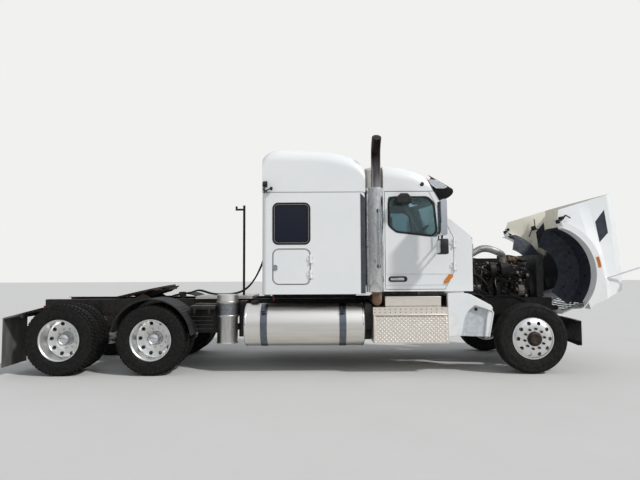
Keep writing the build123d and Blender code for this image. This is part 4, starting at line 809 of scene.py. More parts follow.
def shrunk(outline, inset):
    """The outline moved inwards by inset along the bisectors of its corners; below zero it grows."""
    area = sum(a[0] * b[1] - b[0] * a[1] for a, b in zip(outline, outline[1:] + outline[:1]))
    side_sign = 1 if area > 0 else -1
    moved = []
    for index, point in enumerate(outline):
        before = (Vector(point) - Vector(outline[index - 1])).normalized()
        after = (Vector(outline[(index + 1) % len(outline)]) - Vector(point)).normalized()
        own_normal = Vector((-before.y, before.x)) * side_sign
        normal = Vector((-before.y - after.y, before.x + after.x)) * side_sign
        if normal.length < 1e-6:
            normal = own_normal.copy()
        normal.normalize()
        moved.append(tuple(Vector(point) + normal * inset / max(0.3, normal.dot(own_normal))))
    return moved


def side_loop(outline, hand, off):
    """A ring of vertices on an outline, at a distance off the centre line."""
    return [bm.verts.new(at(x, hand * off, z)) for x, z in outline]


def stitch(first, second):
    """Quads between two rings of the same count."""
    for index in range(len(first)):
        after = (index + 1) % len(first)
        bm.faces.new((first[index], first[after], second[after], second[index]))


def loft(rings):
    """A skin over several rings, closed at both ends."""
    for near, far in zip(rings, rings[1:]):
        stitch(near, far)
    bm.faces.new(rings[0])
    bm.faces.new(rings[-1])


def side_plate(outline, hand, near, far, soft=0):
    """A plate between two distances off the centre line, with a softened outer edge."""
    rings = [side_loop(outline, hand, near), side_loop(outline, hand, far - soft)]
    if soft:
        rings.append(side_loop(shrunk(outline, soft), hand, far))
    loft(rings)


def side_frame(outline, border, hand, near, far):
    """A frame inside an outline, border wide."""
    inside = shrunk(outline, border)
    rings = [side_loop(outline, hand, near), side_loop(outline, hand, far),
             side_loop(inside, hand, far), side_loop(inside, hand, near)]
    for index in range(4):
        stitch(rings[index], rings[(index + 1) % 4])


def rectangle(back, front, bottom, top):
    """The four corners of a side-view rectangle."""
    return [(back, bottom), (front, bottom), (front, top), (back, top)]


# %% [markdown]
# Rubber gaskets hold the glass, and thin dark lines mark where panels meet. The solids already have real gaps
# round the doors, so only the gaskets, the roof seam and the lines of the side moulding are added; those
# lines are grey, as painted shade of the moulding's creases. A table gives each flat fitting its finish, body
# and outline, a border if it is a frame, and its depth off the side. One row of it is the stack's shadow on
# the sleeper's front corner, painted as a dark strip.

# %% Gaskets, seams and door fittings
sleeper_side, cab_side = 1175, 1050
sleeper_window = rounded(rectangle(-3762, -3217, 1885, 2493), 80)
luggage_door = rounded(rectangle(-3769, -3208, 1294, 1825), 95)
cab_window = rounded([(-1940, 2060), (-1315, 1985), (-1365, 2503), (-1460, 2600), (-2060, 2600),
                      (-2060, 2160)], 110)
marker = rounded([(-1240, 1310), (-1206, 1296), (-1104, 1410), (-1114, 1438), (-1166, 1438),
                  (-1240, 1345)], 10)
visor_leaf = rounded([(-1440, 2874), (-1330, 2862), (-1180, 2772), (-1140, 2738), (-1200, 2727),
                      (-1320, 2730), (-1400, 2790)], 18)
neck = [(-2392, 2683), (-2392, 3012), (-2260, 3034), (-2112, 3048), (-2112, 2683)]
# The stack's shadow on the sleeper's front corner, painted as a dark strip.
corner_strip = [(-2478, 1170), (-2412, 1170), (-2412, 2560), (-2440, 2600), (-2478, 2632)]
latch_plate = rounded(rectangle(-3758, -3690, 1500, 1590), 30)
handle_cup = rounded(rectangle(-2061, -1783, 1330, 1412), 40)
handle_paddle = rounded(rectangle(-2035, -1830, 1352, 1388), 17)
neck_edge = rectangle(-2392, -2380, 2690, 2900)
frame_outline = shrunk(sleeper_window, 20)
# Each row: name, finish, body, outline, border or 0, the side it lies on, near and far off it, soft edge
flat_fittings = [
    ("sleeper_gasket", rubber_black, "chassis", shrunk(sleeper_window, -6), 26, sleeper_side, -12, 4, 0),
    ("sleeper_window_frame", brushed_steel, "chassis", frame_outline, 5, sleeper_side, -14, 2, 0),
    ("window_gasket", rubber_black, "door_", shrunk(cab_window, -4), 30, cab_side, -14, 3, 0),
    ("handle_cup", mould_plastic, "door_", handle_cup, 0, cab_side, -2, 12, 4),
    ("handle_paddle", chrome, "door_", handle_paddle, 0, cab_side, 8, 22, 5),
    ("door_marker", amber_lens, "door_", marker, 0, cab_side, -1, 16, 5),
    ("luggage_seal", rubber_black, "luggage_door_", shrunk(luggage_door, 12), 5, sleeper_side, -2, 1.5, 0),
    ("luggage_latch", chrome, "luggage_door_", latch_plate, 0, sleeper_side, -1, 9, 3),
    ("corner_strip", stack_shadow_paint, "chassis", corner_strip, 0, sleeper_side, -2, 3, 0),
    ("roof_neck_panel", boot_vinyl, "chassis", neck, 0, cab_side, -128, -117, 0),
    ("roof_neck_seam", rubber_black, "chassis", neck_edge, 0, cab_side, -120, -114, 0),
    ("visor_end", chrome, "chassis", visor_leaf, 0, cab_side, -62, -46, 6),
]
for side, hand in hands.items():
    for name, finish, body, outline, border, wall, near, far, soft in flat_fittings:
        with piece(name + "_" + side, finish, body + side if body.endswith("_") else body):
            if border:
                side_frame(outline, border, hand, wall + near, wall + far)
            else:
                side_plate(outline, hand, wall + near, wall + far, soft)
    with piece("roof_seams_" + side, rubber_black):
        block((-3880, hand * sleeper_side - 3, 2650), (-2440, hand * sleeper_side + 3, 2655))
        block((-2110, hand * cab_side - 2.5, 2676), (-1340, hand * cab_side + 2.5, 2681))
    # The moulding's lines are painted grey as the shade in its creases.
    with piece("door_moulding_" + side, shade_grey_gelcoat, "door_" + side):
        for moulding in ((-2102, -1096, 1446, 1440), (-2095, -1180, 1284, 1279)):
            side_plate(rectangle(*moulding), hand, cab_side - 1, cab_side + 3)

# %% [markdown]
# The door mirrors have a tall chromed shell over a black lower one, on black arms. Their glass faces back.

# %% Door mirrors
mirror_back = -1388
look_down = rounded([(-1955, 2480), (-1730, 2480), (-1730, 2560), (-1790, 2625), (-1895, 2625),
                     (-1955, 2560)], 25)
for side, hand in hands.items():
    body, node = "door_" + side, "door_mirror_" + side
    with piece("mirror_shell_" + side, chrome, body, replaces=node):
        block((-1370, hand * 1270, 1987), (-1290, hand * 1510, 2499), 30, along=1)
    with piece("mirror_glass_" + side, mirror_glass, body, replaces=node):
        block((-1376, hand * 1286, 2010), (-1368, hand * 1494, 2476), 2)
        block((mirror_back - 6, hand * 1262, 1745), (mirror_back + 2, hand * 1488, 1922), 2)
    with piece("mirror_arms_" + side, mould_plastic, body, replaces=node):
        block((mirror_back, hand * 1250, 1725), (-1270, hand * 1500, 1941), 18)
        for height in (1775, 1895):
            bar((-1325, hand * cab_side, height), (-1325, hand * 1300, height), 13)
        bar((-1325, hand * 1325, 1900), (-1325, hand * 1325, 2000), 14)
        bar((-1325, hand * 1250, 2440), (-1325, hand * 1110, 2440), 9)
        bar((-1325, hand * 1110, 2440), (-1325, hand * 1110, 1895), 9)
        side_plate(look_down, hand, 1090, 1240, 14)
        bar((-1842, hand * cab_side, 2622), (-1842, hand * 1130, 2622), 11)

# %% [markdown]
# The exhaust stack is two metals: a chromed guard, and a pipe that heat has stained. The guard stands round
# the pipe from the sill to above the doors, and a grab bar runs down its front.

# %% Exhaust stack
stack_foot, guard_steps = (-2262, -1094, 1185), 64
pipe_x, pipe_y, pipe_radius, bar_x, bar_y = -2238, -1094, 71, -2218, -1258
elbow = [(-432, 1052), (-760, 1052), (-1060, 1050), (pipe_y, 1060), (pipe_y, 1150), (pipe_y, 1300)]
outlet = [(pipe_y, 2640), (pipe_y, 2900), (pipe_y, 3150), (-1105, 3290), (-1170, 3370), (-1250, 3440)]
with piece("stack_guard", guard_chrome_painted_reflection, replaces="exhaust_stack"):
    lathe([(0, 80), (0, 126), (3, 130), (1525, 130), (1528, 126), (1528, 80)], stack_foot, up, guard_steps)
    for height in (150, 1400):
        washer(height, height + 28, 129, 133, stack_foot, up, guard_steps)
for name, finish, route in (("stack_pipe", rusty_iron, elbow), ("stack_upper_pipe", heat_steel, outlet)):
    with piece(name, finish, replaces="exhaust_stack", sharp_angle=50):
        pipe([(pipe_x, y, z) for y, z in route], pipe_radius)
with piece("stack_collar", chrome):
    washer(0, 26, 60, 76, (pipe_x, pipe_y, 2700), up, 40)
with piece("stack_mouth", engine_black, slot="exhaust_steel"):
    lathe([(0, 0), (0, 60), (2, 62), (3, 0)], (pipe_x, -1251, 3441), (0, -80, 70), 32)
with piece("grab_bar_mounts", mould_plastic):
    for height in (1560, 2370):
        block((bar_x - 22, bar_y, height - 22), (bar_x + 22, -1205, height + 22), 6)
with piece("grab_bar", chrome):
    bar((bar_x, bar_y, 1540), (bar_x, bar_y, 2400), 13)

# %% [markdown]
# Black panels under the cab and sleeper paint the shade beneath them, and the polished tanks mirror that
# dark. A rear work lamp with its bracket stands out at the rear end of the roof seam, and five amber markers
# stand on the cab's roof.

# %% Undersides and lamps
with piece("underbody_panels", chassis_black):
    block((-3900, -1155, 1153), (-2425, 1155, 1157.5))
    block((-2110, -1035, 1183), (-830, 1035, 1188.5))
    for hand in hands.values():
        block((-3822, hand * 358, 1062), (-2501, hand * 432, 1157))
for side, hand in hands.items():
    with piece("work_lamp_" + side, mould_plastic):
        bar((-3900, hand * 1170, 2700), (-3840, hand * 1245, 2640), 12)
        bar((-3875, hand * 1215, 2665), (-3790, hand * 1230, 2700), 10)
        lathe([(0, 0), (0, 40), (60, 46), (64, 40), (64, 0)], (-3905, hand * 1190, 2770), ahead, 24)
        lathe([(0, 0), (0, 24), (36, 28), (40, 0)], (-3800, hand * 1223, 2700), ahead, 20)
        bar((-3890, hand * 1171, 2640), (-3890, hand * 1205, 2800), 9)
    with piece("roof_side_lamp_" + side, mould_plastic):
        seat = (-1548, hand * 1030, 2785)
        lathe([(-60, 0), (-60, 46), (6, 44), (18, 34), (24, 0)], seat, (0, hand, 0.2), 28)
with piece("roof_markers", amber_lens):
    for y in range(-560, 561, 280):
        lathe([(0, 0), (0, 34), (16, 30), (30, 18), (34, 0)], (-1290, y, 2940), (0.3, 0, 1), 20)

# %% [markdown]
# A steering wheel and a column show through the door glass. The wheel's ring is a lathe about the column.

# %% Steering wheel
column = Vector((-0.62, 0, 0.78)).normalized()
wheel_middle = at(-1330, 450, 2150)
angles = [math.tau * step / 12 for step in range(12)]
grip = [(14 * math.sin(angle), 222 + 15 * math.cos(angle)) for angle in angles]
sideways = Vector(across)
with piece("steering_wheel", rubber_black, slot="cabin_trim"):
    lathe(grip, wheel_middle, column, 48)
    bar(wheel_middle - column * 0.34, wheel_middle, 32)
    lathe([(-12, 0), (-12, 70), (8, 66), (14, 0)], wheel_middle, column, 28)
    for spoke in (sideways, -sideways, column.cross(sideways)):
        bar(wheel_middle + spoke * 0.06, wheel_middle + spoke * 0.218, 11)

# %% [markdown]
# The step boxes have raised tread plate on their doors. One lozenge, four triangles on a small base, is
# copied over the door in rows whose lean alternates. A rolled ledge with rivets and two sills close the
# box.

# %% Step boxes
lozenge_length, lozenge_width, lozenge_rise = 32, 14, 5
step_face = 1215
rivet = [(0, 0), (0, 7), (2.5, 5), (3.5, 0)]


def lozenge(x, z, hand, lean):
    """One raised mark of tread plate on the step box's door."""
    along = Vector((math.cos(lean), math.sin(lean)))
    over = Vector((-along.y, along.x)) * lozenge_width / 2
    along *= lozenge_length / 2
    foot_y = hand * (step_face - 0.5)
    base = [bm.verts.new(at(x + way.x, foot_y, z + way.y)) for way in (along, over, -along, -over)]
    top = bm.verts.new(at(x, hand * (step_face + lozenge_rise), z))
    for index in range(4):
        bm.faces.new((base[index], base[(index + 1) % 4], top))


for side, hand in hands.items():
    with piece("tread_plate_" + side, step_aluminium, sharp_angle=10):
        for row in range(13):
            for place in range(34):
                lean = math.radians(45 if (row + place) % 2 else -45)
                lozenge(-2272 + place * 31, 478 + row * 29, hand, lean)
    with piece("step_ledge_" + side, step_aluminium):
        block((-2305, hand * (step_face - 70), 848), (-1240, hand * (step_face + 6), 862), 4)
        for x in (-2290, -1262):
            block((x - 8, hand * 1213, 460), (x + 8, hand * 1219, 846), 2)
        block((-2119, hand * 1100, 1096), (-1304, hand * 1112, 1118), 4)
    with piece("step_rivets_" + side, chassis_black):
        for x in range(-2280, -1230, 75):
            for z in (935, 890):
                lathe(rivet, (x, hand * 1155, z), (0, hand, 0), 10)
        block((-2285, hand * 1214, 836), (-1240, hand * 1216.5, 846))
        block((-2119, hand * 1104, 972), (-1304, hand * 1107, 980))

# %% [markdown]
# Behind each front wheel a quarter fender closes the gap under the cab. Its side is a flat panel, and towards
# the wheel it dips into a shallow channel with a drain hole, under a rolled edge. The channel is tinted grey
# as painted shade, and the drain hole is a black disc, painted as the shade inside it. It is pressed here
# from three overlapping plates at different depths.

# %% Quarter fenders
fender_panel = [(-1215, 542), (-1215, 1164), (-934, 1160), (-878, 1146), (-590, 991), (-560, 950),
                (-581, 900), (-679, 940), (-817, 985), (-900, 925), (-965, 826), (-997, 700), (-1024, 545)]
painted_shade_channel = [(-1030, 540), (-1010, 700), (-980, 830), (-905, 930), (-817, 990), (-679, 950), (-581, 905),
                  (-545, 874), (-575, 700), (-600, 524)]
fender_tail = [(-672, 530), (-655, 700), (-640, 820), (-620, 910), (-581, 900), (-540, 874), (-572, 700),
               (-598, 528)]
fender_return = [(-1215, 1162), (-878, 1144), (-592, 989), (-538, 873), (-605, 524), (-618, 524), (-551, 870),
                 (-602, 979), (-882, 1132), (-1215, 1149)]
for side, hand in hands.items():
    with piece("quarter_fender_" + side, white_enamel, replaces="quarter_fenders"):
        side_plate(fender_return, hand, 660, 1128)
        side_plate(fender_panel, hand, 1084, 1150, 6)
        side_plate(fender_tail, hand, 1070, 1118, 10)
    # The channel's grey is painted shade.
    with piece("fender_channel_" + side, shade_grey_gelcoat, replaces="quarter_fenders"):
        side_plate(painted_shade_channel, hand, 1072, 1088, 2)
    # The drain hole is a black disc: painted shade of the hole.
    with piece("fender_drain_" + side, chassis_black, replaces="quarter_fenders"):
        lathe([(0, 0), (0, 27), (4, 24), (5, 0)], (-790, hand * 1087, 925), (0, hand, 0), 20)
        block((-700, hand * 432, 980), (-670, hand * 662, 1020), 4)

# %% [markdown]
# Rolled beads stiffen the edges of the black half fenders over the middle axle, and ribs cross their front.
# A bead is a small ring spun through part of a turn about the axle.

# %% Rolled beads and ribs
fender_radius = 592


def arc_bar(centre, arc_radius, start, stop, thick, steps):
    """A round bar bent through an arc about a cross axis, with angles in degrees up from the front."""
    turn = Matrix.Rotation(-math.radians(start), 4, "Y")
    seat = Matrix.Translation(centre) @ turn @ Matrix.Translation((mm(arc_radius), 0, 0))
    corners = bmesh.ops.create_circle(bm, cap_ends=True, segments=10, radius=mm(thick), matrix=seat)["verts"]
    edges = list({edge for vertex in corners for edge in vertex.link_edges})
    faces = list({face for vertex in corners for face in vertex.link_faces})
    bmesh.ops.spin(bm, geom=corners + edges + faces, cent=centre, axis=across, dvec=(0, 0, 0),
                   angle=-math.radians(stop - start), steps=steps)


for side, hand in hands.items():
    axle = joint_places["spin_middle_" + side]
    with piece("half_fender_beads_" + side, rubber_black):
        for y in (620, 1222):
            arc_bar(Vector((axle.x, hand * mm(y), axle.z)), fender_radius - 4, 14, 160, 9, 40)
        for angle in range(16, 52, 5):
            way = Matrix.Rotation(-math.radians(angle), 3, "Y") @ Vector((mm(fender_radius + 1), 0, 0))
            ends = [Vector((axle.x, hand * mm(y), axle.z)) + way for y in (640, 1205)]
            bar(*ends, 5, 8)

# %% [markdown]
# The fifth wheel's plate is a ribbed casting. Skirts and cross ribs fill the space under it, drawn level
# and then tilted with the plate, which leans back on its pivot at rest.

# %% Fifth wheel casting
skirt = [(-6150, 1166), (-6060, 1120), (-5840, 1085), (-5640, 1100), (-5500, 1150), (-5490, 1168)]
with piece("fifth_wheel_ribs", oily_iron, "fifth_wheel"):
    for hand in hands.values():
        side_plate(skirt, hand, 232, 262, 4)
    for x in (-6000, -5760, -5640, -5540):
        block((x - 9, -240, 1118), (x + 9, 240, 1168), 3)
    bar((-5620, -262, 1135), (-5620, -440, 1150), 12)
    bar((-5620, -440, 1150), (-5690, -448, 1150), 12)
    washer(0, 26, 40, 66, (-5900, 0, 1140), up, 32)

# %% [markdown]
# Under the frame hang the air tanks, a battery tray and the drive shafts. Nobody looks at them for long,
# but they close the view between the wheels, so each gets its true outline and little more.

# %% Air tanks, brackets and shafts
tank_rounds = [(0, 0), (12, 90), (30, 118), (48, 125), (812, 125), (830, 118), (848, 90), (860, 0)]
shaft_joint = [(0, 0), (0, 70), (60, 82), (120, 70), (120, 0)]
with piece("air_tanks", chassis_black):
    for x, y, z in ((-3500, -330, 640), (-3500, 330, 640), (-4450, 150, 650), (-2450, 300, 620),
                    (-2450, -250, 620)):
        lathe(tank_rounds, (x, y, z), ahead, 32)
        for strap in (200, 640):
            washer(strap, strap + 40, 124, 129, (x, y, z), ahead, 32)
with piece("drive_shafts", oily_iron):
    bar((-1350, 0, 640), (-3150, 0, 600), 52, 24)
    bar((-3150, 0, 600), (-5250, 0, 560), 52, 24)
    bar((-5750, 0, 560), (-6600, 0, 560), 46, 24)
    for x in (-1400, -3150, -5200, -5800, -6550):
        lathe(shaft_joint, (x - 60, 0, 605 if x > -4000 else 562), ahead, 24)

for side, hand in hands.items():
    with piece("frame_brackets_" + side, chassis_black):
        block((-2420, hand * 440, 640), (-2314, hand * 1090, 1010), 8)
        block((-2420, hand * 440, 470), (-2314, hand * 900, 640), 8)
        # This black block fills the shade between the fuel tank and the canister: painted shade.
        block((-4312, hand * 440, 500), (-4200, hand * 760, 1040), 8)
        block((-5000, hand * 440, 560), (-4645, hand * 760, 1000), 12)
        for x, z in ((-2400, 900), (-2340, 820), (-2390, 720)):
            bar((x, hand * 1090, z), (x, hand * 1108, z), 15, 6)
        for z in (900, 1000):
            bar((-4260, hand * 440, z), (-4260, hand * 830, z), 18)
        block((-5010, hand * 440, 930), (-4638, hand * 1002, 985), 6)
        for x in (-4940, -4720):
            block((x - 14, hand * 990, 860), (x + 14, hand * 1010, 960), 4)
        for z in (640, 700, 760, 820):
            block((-4980, hand * 990, z), (-4665, hand * 1006, z + 12), 3)
    with piece("frame_bolts_" + side, oily_iron):
        for x in range(-7300, -4800, 110):
            for z in (850, 995):
                bar((x, hand * 430, z), (x, hand * 445, z), 12, 6)

with piece("red_drain_line", red_lens, slot="hose_rubber"):
    bar((-3780, -902, 1152), (-3768, -905, 1050), 15)

# %% [markdown]
# The canister in front of the middle axle is stainless: a bright top ring, a dull band, a clamp with its
# bolt and a brushed lower body with a rolled foot.

# %% Canister and fuel tanks
canister = (-4476, -830, 0)
top_ring = [(1030, 150), (1030, 158), (1138, 158), (1146, 150), (1146, 0), (1140, 0), (1140, 150)]
with piece("canister_ends", tank_aluminium):
    lathe(top_ring, canister, up, 64)
    lathe([(421, 150), (421, 160), (430, 163), (440, 160), (440, 150)], canister, up, 64)
with piece("canister_band", band_steel):
    washer(850, 1029, 150, 156.5, canister, up, 64)
with piece("canister_clamps", brushed_steel):
    for z in (806, 1012):
        clamp = [(z, 152), (z, 164), (z + 10, 168), (z + 26, 168), (z + 36, 164), (z + 36, 152)]
        lathe(clamp, canister, up, 64)
        bar((-4560, -985, z + 18), (-4490, -1003, z + 18), 9, 8)

cap_profile = [(300, 0), (300, 62), (322, 62), (326, 57), (346, 57), (350, 52), (350, 0)]
for side, hand in hands.items():
    with piece("tank_rims_" + side, chrome, slot=polished):
        for x in (16, 1727):
            lathe([(x, 306), (x, 314), (x + 5, 317), (x + 13, 317), (x + 18, 314), (x + 18, 306)],
                  (-4186, hand * 908, 700), ahead, 72)
    with piece("tank_cap_" + side, mould_plastic):
        lathe(cap_profile, (-4050, hand * 908, 700), up, 32)
        for step in range(8):
            way = Matrix.Rotation(math.tau * step / 8, 3, "Z") @ Vector((mm(56), 0, 0))
            bar(at(-4050, hand * 908, 1022) + way, at(-4050, hand * 908, 1046) + way, 6, 8)
    with piece("strap_bolts_" + side, chassis_black):
        for x in (-3893, -2747):
            bar((x - 18, hand * 1208, 880), (x - 18, hand * 1152, 975), 7)
            block((x - 34, hand * 1170, 905), (x + 34, hand * 1206, 925), 3)

# %% [markdown]
# The hood's splash shields are drawn as rings of points, lofted round the wheel arch, with rubber plugs on
# them. The arch has a soft bright lip with an amber marker on top. The rear corner carries a rubber latch,
# and inside the far corner hangs the latch's bracket. The mirror's foot is a dark knob.

# %% Splash shields, lips, markers and latches of the hood
arch_x, arch_z = 30, 647
shield_rows = [(652, 712), (650, 716), (590, 590), (540, 430), (546, 428), (597, 585)]
shield_start, shield_end, shield_steps = 30, 146, 38
plug_places = [(38, 600), (50, 574), (62, 630), (82, 590), (102, 620), (33, 760), (47, 800), (70, 820)]


def on_arch(angle, radius, y):
    """A place on an arch's circle, with the angle in degrees up from the front."""
    turn = math.radians(angle)
    return at(arch_x + radius * math.cos(turn), y, arch_z + radius * math.sin(turn))


for side, hand in hands.items():
    with piece("splash_shield_" + side, liner_plastic, "hood", sharp_angle=40):
        rings = []
        for step in range(shield_steps + 1):
            angle = shield_start + (shield_end - shield_start) * step / shield_steps
            rings.append([bm.verts.new(on_arch(angle, radius, hand * y)) for y, radius in shield_rows])
        loft(rings)
    with piece("shield_plugs_" + side, rubber_black, "hood"):
        for angle, y in plug_places:
            radius = 703 if y > 650 else 590 + (y - 590) * (2.0 if y > 590 else 3.2)
            inward = (-math.cos(math.radians(angle)), 0, -math.sin(math.radians(angle)))
            lathe([(-8, 0), (-8, 24), (4, 26), (8, 20), (8, 0)], on_arch(angle, radius, hand * y), inward, 18)
    with piece("arch_lip_" + side, white_enamel, "hood"):
        arc_bar(at(arch_x, hand * 1192, arch_z), 699, 12, 148, 7, 56)
    with piece("arch_marker_" + side, amber_lens, "hood"):
        for angle in range(80, 92):
            seat = Matrix.Translation(on_arch(angle, 748, hand * 1194))
            turn = Matrix.Rotation(-math.radians(angle), 4, "Y")
            size = Matrix.Diagonal((mm(42), mm(12), mm(15), 1))
            bmesh.ops.create_cube(bm, size=1, matrix=seat @ turn @ size)
    with piece("hood_latch_" + side, rubber_black, "hood"):
        block((-668, hand * 1040, 1046), (-612, hand * 1150, 1088), 8)
        block((-700, hand * 1040, 1094), (-650, hand * 1150, 1138), 8)
        bar((-640, hand * 1140, 1078), (-700, hand * 1152, 1170), 12)
        bar((-700, hand * 1152, 1170), (-640, hand * 1120, 1240), 9)
        bar((-640, hand * 1060, 1068), (-560, hand * 1020, 1130), 14)
        block((-600, hand * 960, 1520), (-520, hand * 1012, 1600), 10)
        bar((-560, hand * 985, 1590), (-720, hand * 985, 1620), 8)
        bar((-560, hand * 985, 1530), (-430, hand * 1000, 1430), 10)
        bar((-560, hand * 975, 1560), (-470, hand * 990, 1680), 9)
    with piece("mirror_foot_" + side, mould_plastic, "hood"):
        seat = (352, hand * 1118, 1392)
        lathe([(-6, 0), (-6, 44), (10, 42), (26, 24), (30, 0)], seat, (0, hand * 0.3, 1), 24)

# %% [markdown]
# An open engine bay is a dark tangle: hoses, brackets, wires, pipes and bolt heads. The solids give its big
# forms. Small parts are scattered over them in a fixed order, each from a short list of real kinds: hex
# bolts, hose stubs and brackets. The seed keeps the tangle the same on every run.

# %% Engine bay
engine_side = -340
stub_profile = [(0, 0), (0, 24), (30, 26), (38, 18), (38, 0)]
random.seed(7)
bolts, brackets = [], []
for row in range(9):
    for count in range(14):
        x = -780 + count * 78 + random.uniform(-24, 24)
        z = 1075 + row * 66 + random.uniform(-22, 22)
        out = engine_side - random.uniform(4, 60)
        kind = random.random()
        if kind < 0.4:
            bolts.append((bar, (x, engine_side + 30, z), (x, out, z), random.uniform(7, 13), 6))
        elif kind < 0.7:
            low = (x - random.uniform(12, 34), out - 20, z - random.uniform(10, 26))
            high = (x + random.uniform(12, 34), engine_side + 40, z + random.uniform(10, 26))
            brackets.append((low, high, 4))
        elif kind < 0.85:
            bolts.append((lathe, stub_profile, (x, out, z), (0, -1, 0.2), 16))
with piece("engine_bolts", worn_steel):
    for draw, *sizes in bolts:
        draw(*sizes)
with piece("engine_brackets", engine_black):
    for bracket in brackets:
        block(*bracket)

# %% Hoses, looms and pipes of the engine
bay_lines = [
    ("coolant_hose_upper", 30, [(-120, -90, 1700), (0, -160, 1725), (120, -200, 1700), (250, -160, 1660),
                                (330, -120, 1650)]),
    ("coolant_hose_lower", 32, [(-60, -420, 1120), (80, -440, 1060), (200, -420, 990), (300, -330, 930),
                                (345, -260, 920)]),
    ("heater_hose_front", 15, [(-800, -300, 1500), (-640, -420, 1560), (-420, -470, 1500), (-240, -440, 1360),
                               (-60, -430, 1330), (60, -380, 1260)]),
    ("heater_hose_rear", 15, [(-800, -360, 1440), (-660, -470, 1460), (-520, -500, 1380), (-420, -470, 1250),
                              (-300, -420, 1180)]),
    ("wire_loom_upper", 11, [(-800, -200, 1660), (-620, -380, 1700), (-480, -430, 1640), (-330, -440, 1560),
                             (-160, -470, 1340), (0, -430, 1300), (150, -380, 1380), (280, -330, 1480)]),
    ("wire_loom_lower", 10, [(-800, -430, 1300), (-640, -520, 1250), (-500, -520, 1140), (-340, -470, 1080),
                             (-100, -460, 1070), (140, -430, 1110), (300, -400, 1200)]),
    ("fuel_line_front", 7, [(-460, -400, 1160), (-380, -460, 1330), (-260, -420, 1400), (-60, -400, 1420),
                            (90, -380, 1380), (140, -370, 1280)]),
    ("breather_hose", 22, [(-560, -150, 1690), (-600, -330, 1660), (-620, -440, 1500), (-600, -470, 1320),
                           (-560, -460, 1120)]),
    ("steering_hose", 12, [(-800, -520, 1150), (-600, -510, 1110), (-380, -500, 1080), (-120, -470, 1085),
                           (80, -450, 1075)]),
    ("oil_pipe_front", 9, [(-260, -430, 1380), (-300, -470, 1300), (-260, -480, 1200), (-200, -400, 1120)]),
    ("oil_pipe_rear", 9, [(-420, -330, 1600), (-470, -430, 1560), (-500, -440, 1440), (-480, -390, 1330)]),
    ("injector_line", 9, [(-560, -330, 1480), (-430, -360, 1590), (-100, -360, 1600), (110, -350, 1560)]),
]
for name, radius, points in bay_lines:
    finish, slot = (worn_steel, "cast_iron") if radius == 9 else (rubber_black, "hose_rubber")
    with piece(name, finish, slot=slot, sharp_angle=50):
        pipe(points, radius)

with piece("rusty_brackets", rusty_iron, slot="cast_iron"):
    for x in (-60, 20, 60):
        block((x - 26, -340, 1640), (x + 22, -260, 1700), 6)
    bar((-30, -330, 1660), (150, -330, 1690), 15)
    bar((90, -280, 1690), (90, -340, 1640), 20)
with piece("brass_unions", brass_fitting):
    for x, z in ((-20, 1700), (45, 1668), (100, 1705), (-80, 1655)):
        bar((x, -350, z), (x, -385, z), 15, 6)
        bar((x, -340, z), (x, -398, z), 8, 10)

# %% [markdown]
# The alternator, a compressor with its fins, and the reservoirs on the bulkhead are what a mechanic would
# name first. Each is a lathe or a soft block with its clamp.

# %% Alternator, reservoirs and bulkhead
with piece("alternator_and_compressor", worn_steel):
    lathe([(0, 0), (0, 40), (14, 44), (16, 78), (24, 88), (110, 88), (128, 70), (150, 60), (154, 0)],
          (60, -400, 1180), ahead, 32)
    for angle in range(0, 360, 20):
        way = Matrix.Rotation(math.radians(angle), 3, "X") @ Vector((0, 0, mm(86)))
        bar(at(84, -400, 1180) + way, at(168, -400, 1180) + way, 5, 6)
    for x in range(-640, -520, 15):
        lathe([(0, 0), (0, 74), (6, 74), (6, 0)], (x, -410, 1215), ahead, 28)
with piece("reservoirs", pale_plastic):
    lathe([(0, 0), (0, 58), (6, 64), (150, 66), (165, 50), (172, 34), (196, 34), (200, 28), (200, 0)],
          (-740, -560, 1560), up, 28)
    block((-806, -660, 1420), (-700, -430, 1545), 14)
    block((-806, -880, 1780), (-745, -760, 1900), 12)
with piece("bulkhead_parts", engine_black):
    lathe([(0, 0), (0, 120), (12, 132), (40, 134), (60, 120), (96, 96), (120, 60), (120, 0)],
          (-812, 450, 1500), ahead, 36)
    block((-812, -380, 1230), (-776, 560, 1330), 8)
    block((-812, -900, 1210), (-790, 900, 1225), 3)
    for y in (-640, -500, -260, 150, 300, 640):
        bar((-812, y, 1360 + y % 90), (-770, y, 1360 + y % 90), 26, 16)
    block((-806, -720, 1240), (-740, -580, 1390), 10)
    block((-806, -880, 1905), (-760, -800, 1995), 8)
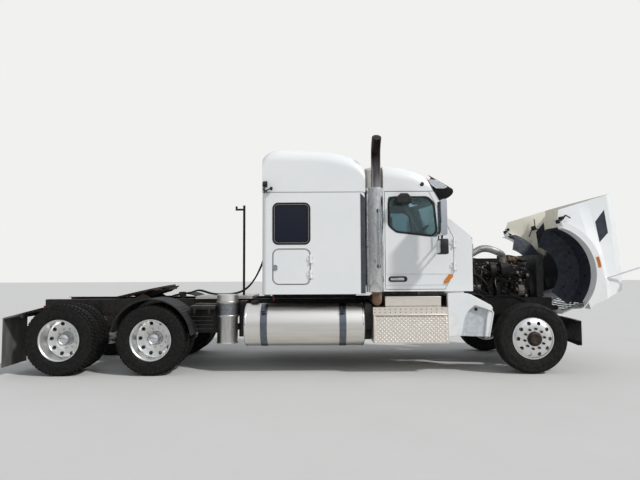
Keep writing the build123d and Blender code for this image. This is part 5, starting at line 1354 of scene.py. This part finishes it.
with piece("cooling_fan", rubber_black):
    lathe([(0, 0), (0, 300), (10, 318), (60, 318), (66, 300), (66, 0)], (262, 0, 1290), ahead, 48)
    for blade in range(9):
        turn = Matrix.Translation(at(250, 0, 1290)) @ Matrix.Rotation(math.tau * blade / 9, 4, "X")
        pitched = Matrix.Translation((0, 0, mm(185))) @ Matrix.Rotation(math.radians(32), 4, "Z")
        size = Matrix.Diagonal((mm(8), mm(70), mm(230), 1))
        bmesh.ops.create_cube(bm, size=1, matrix=turn @ pitched @ size)

# %% [markdown]
# The charge air pipe is a corrugated flexible duct between two cuffs. Its rings follow points read from one
# smooth spline, and their radius goes up and down.

# %% Corrugated charge pipe
duct_points = [(-815, -560, 1690), (-700, -585, 1740), (-560, -590, 1832), (-420, -560, 1838),
               (-280, -480, 1800), (-150, -410, 1750), (-135, -400, 1690), (-135, -400, 1618)]
duct_radius, duct_wave, duct_sides = 50, 5, 24
guide = smooth_tube("duct_guide", [at(*point) for point in duct_points], 0, rings=24)
line = bpy.data.meshes.new_from_object(guide.evaluated_get(bpy.context.evaluated_depsgraph_get()))
path = [vertex.co.copy() for vertex in line.vertices]
bpy.data.objects.remove(guide)
bpy.data.meshes.remove(line)
with piece("charge_duct", pipe_aluminium, replaces="charge_pipe", sharp_angle=60):
    rings = []
    for index, point in enumerate(path):
        way = (path[min(index + 1, len(path) - 1)] - path[max(index - 1, 0)]).normalized()
        out = sideways.cross(way).normalized()
        over = way.cross(out)
        radius = mm(duct_radius + (duct_wave if index % 4 < 2 else -duct_wave))
        turns = [math.tau * step / duct_sides for step in range(duct_sides)]
        spokes = [out * math.cos(turn) + over * math.sin(turn) for turn in turns]
        rings.append([bm.verts.new(point + spoke * radius) for spoke in spokes])
    loft(rings)
with piece("charge_duct_cuffs", worn_steel, replaces="charge_pipe"):
    washer(-24, 24, 48, 60, path[1], path[4] - path[1], 32)
    washer(-24, 24, 48, 60, path[-2], path[-2] - path[-5], 32)

# %% [markdown]
# The last cell prints the dressed model's box.

# %% Dressed box
low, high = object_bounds()
print("dressed box", [round(size, 3) for size in high - low])
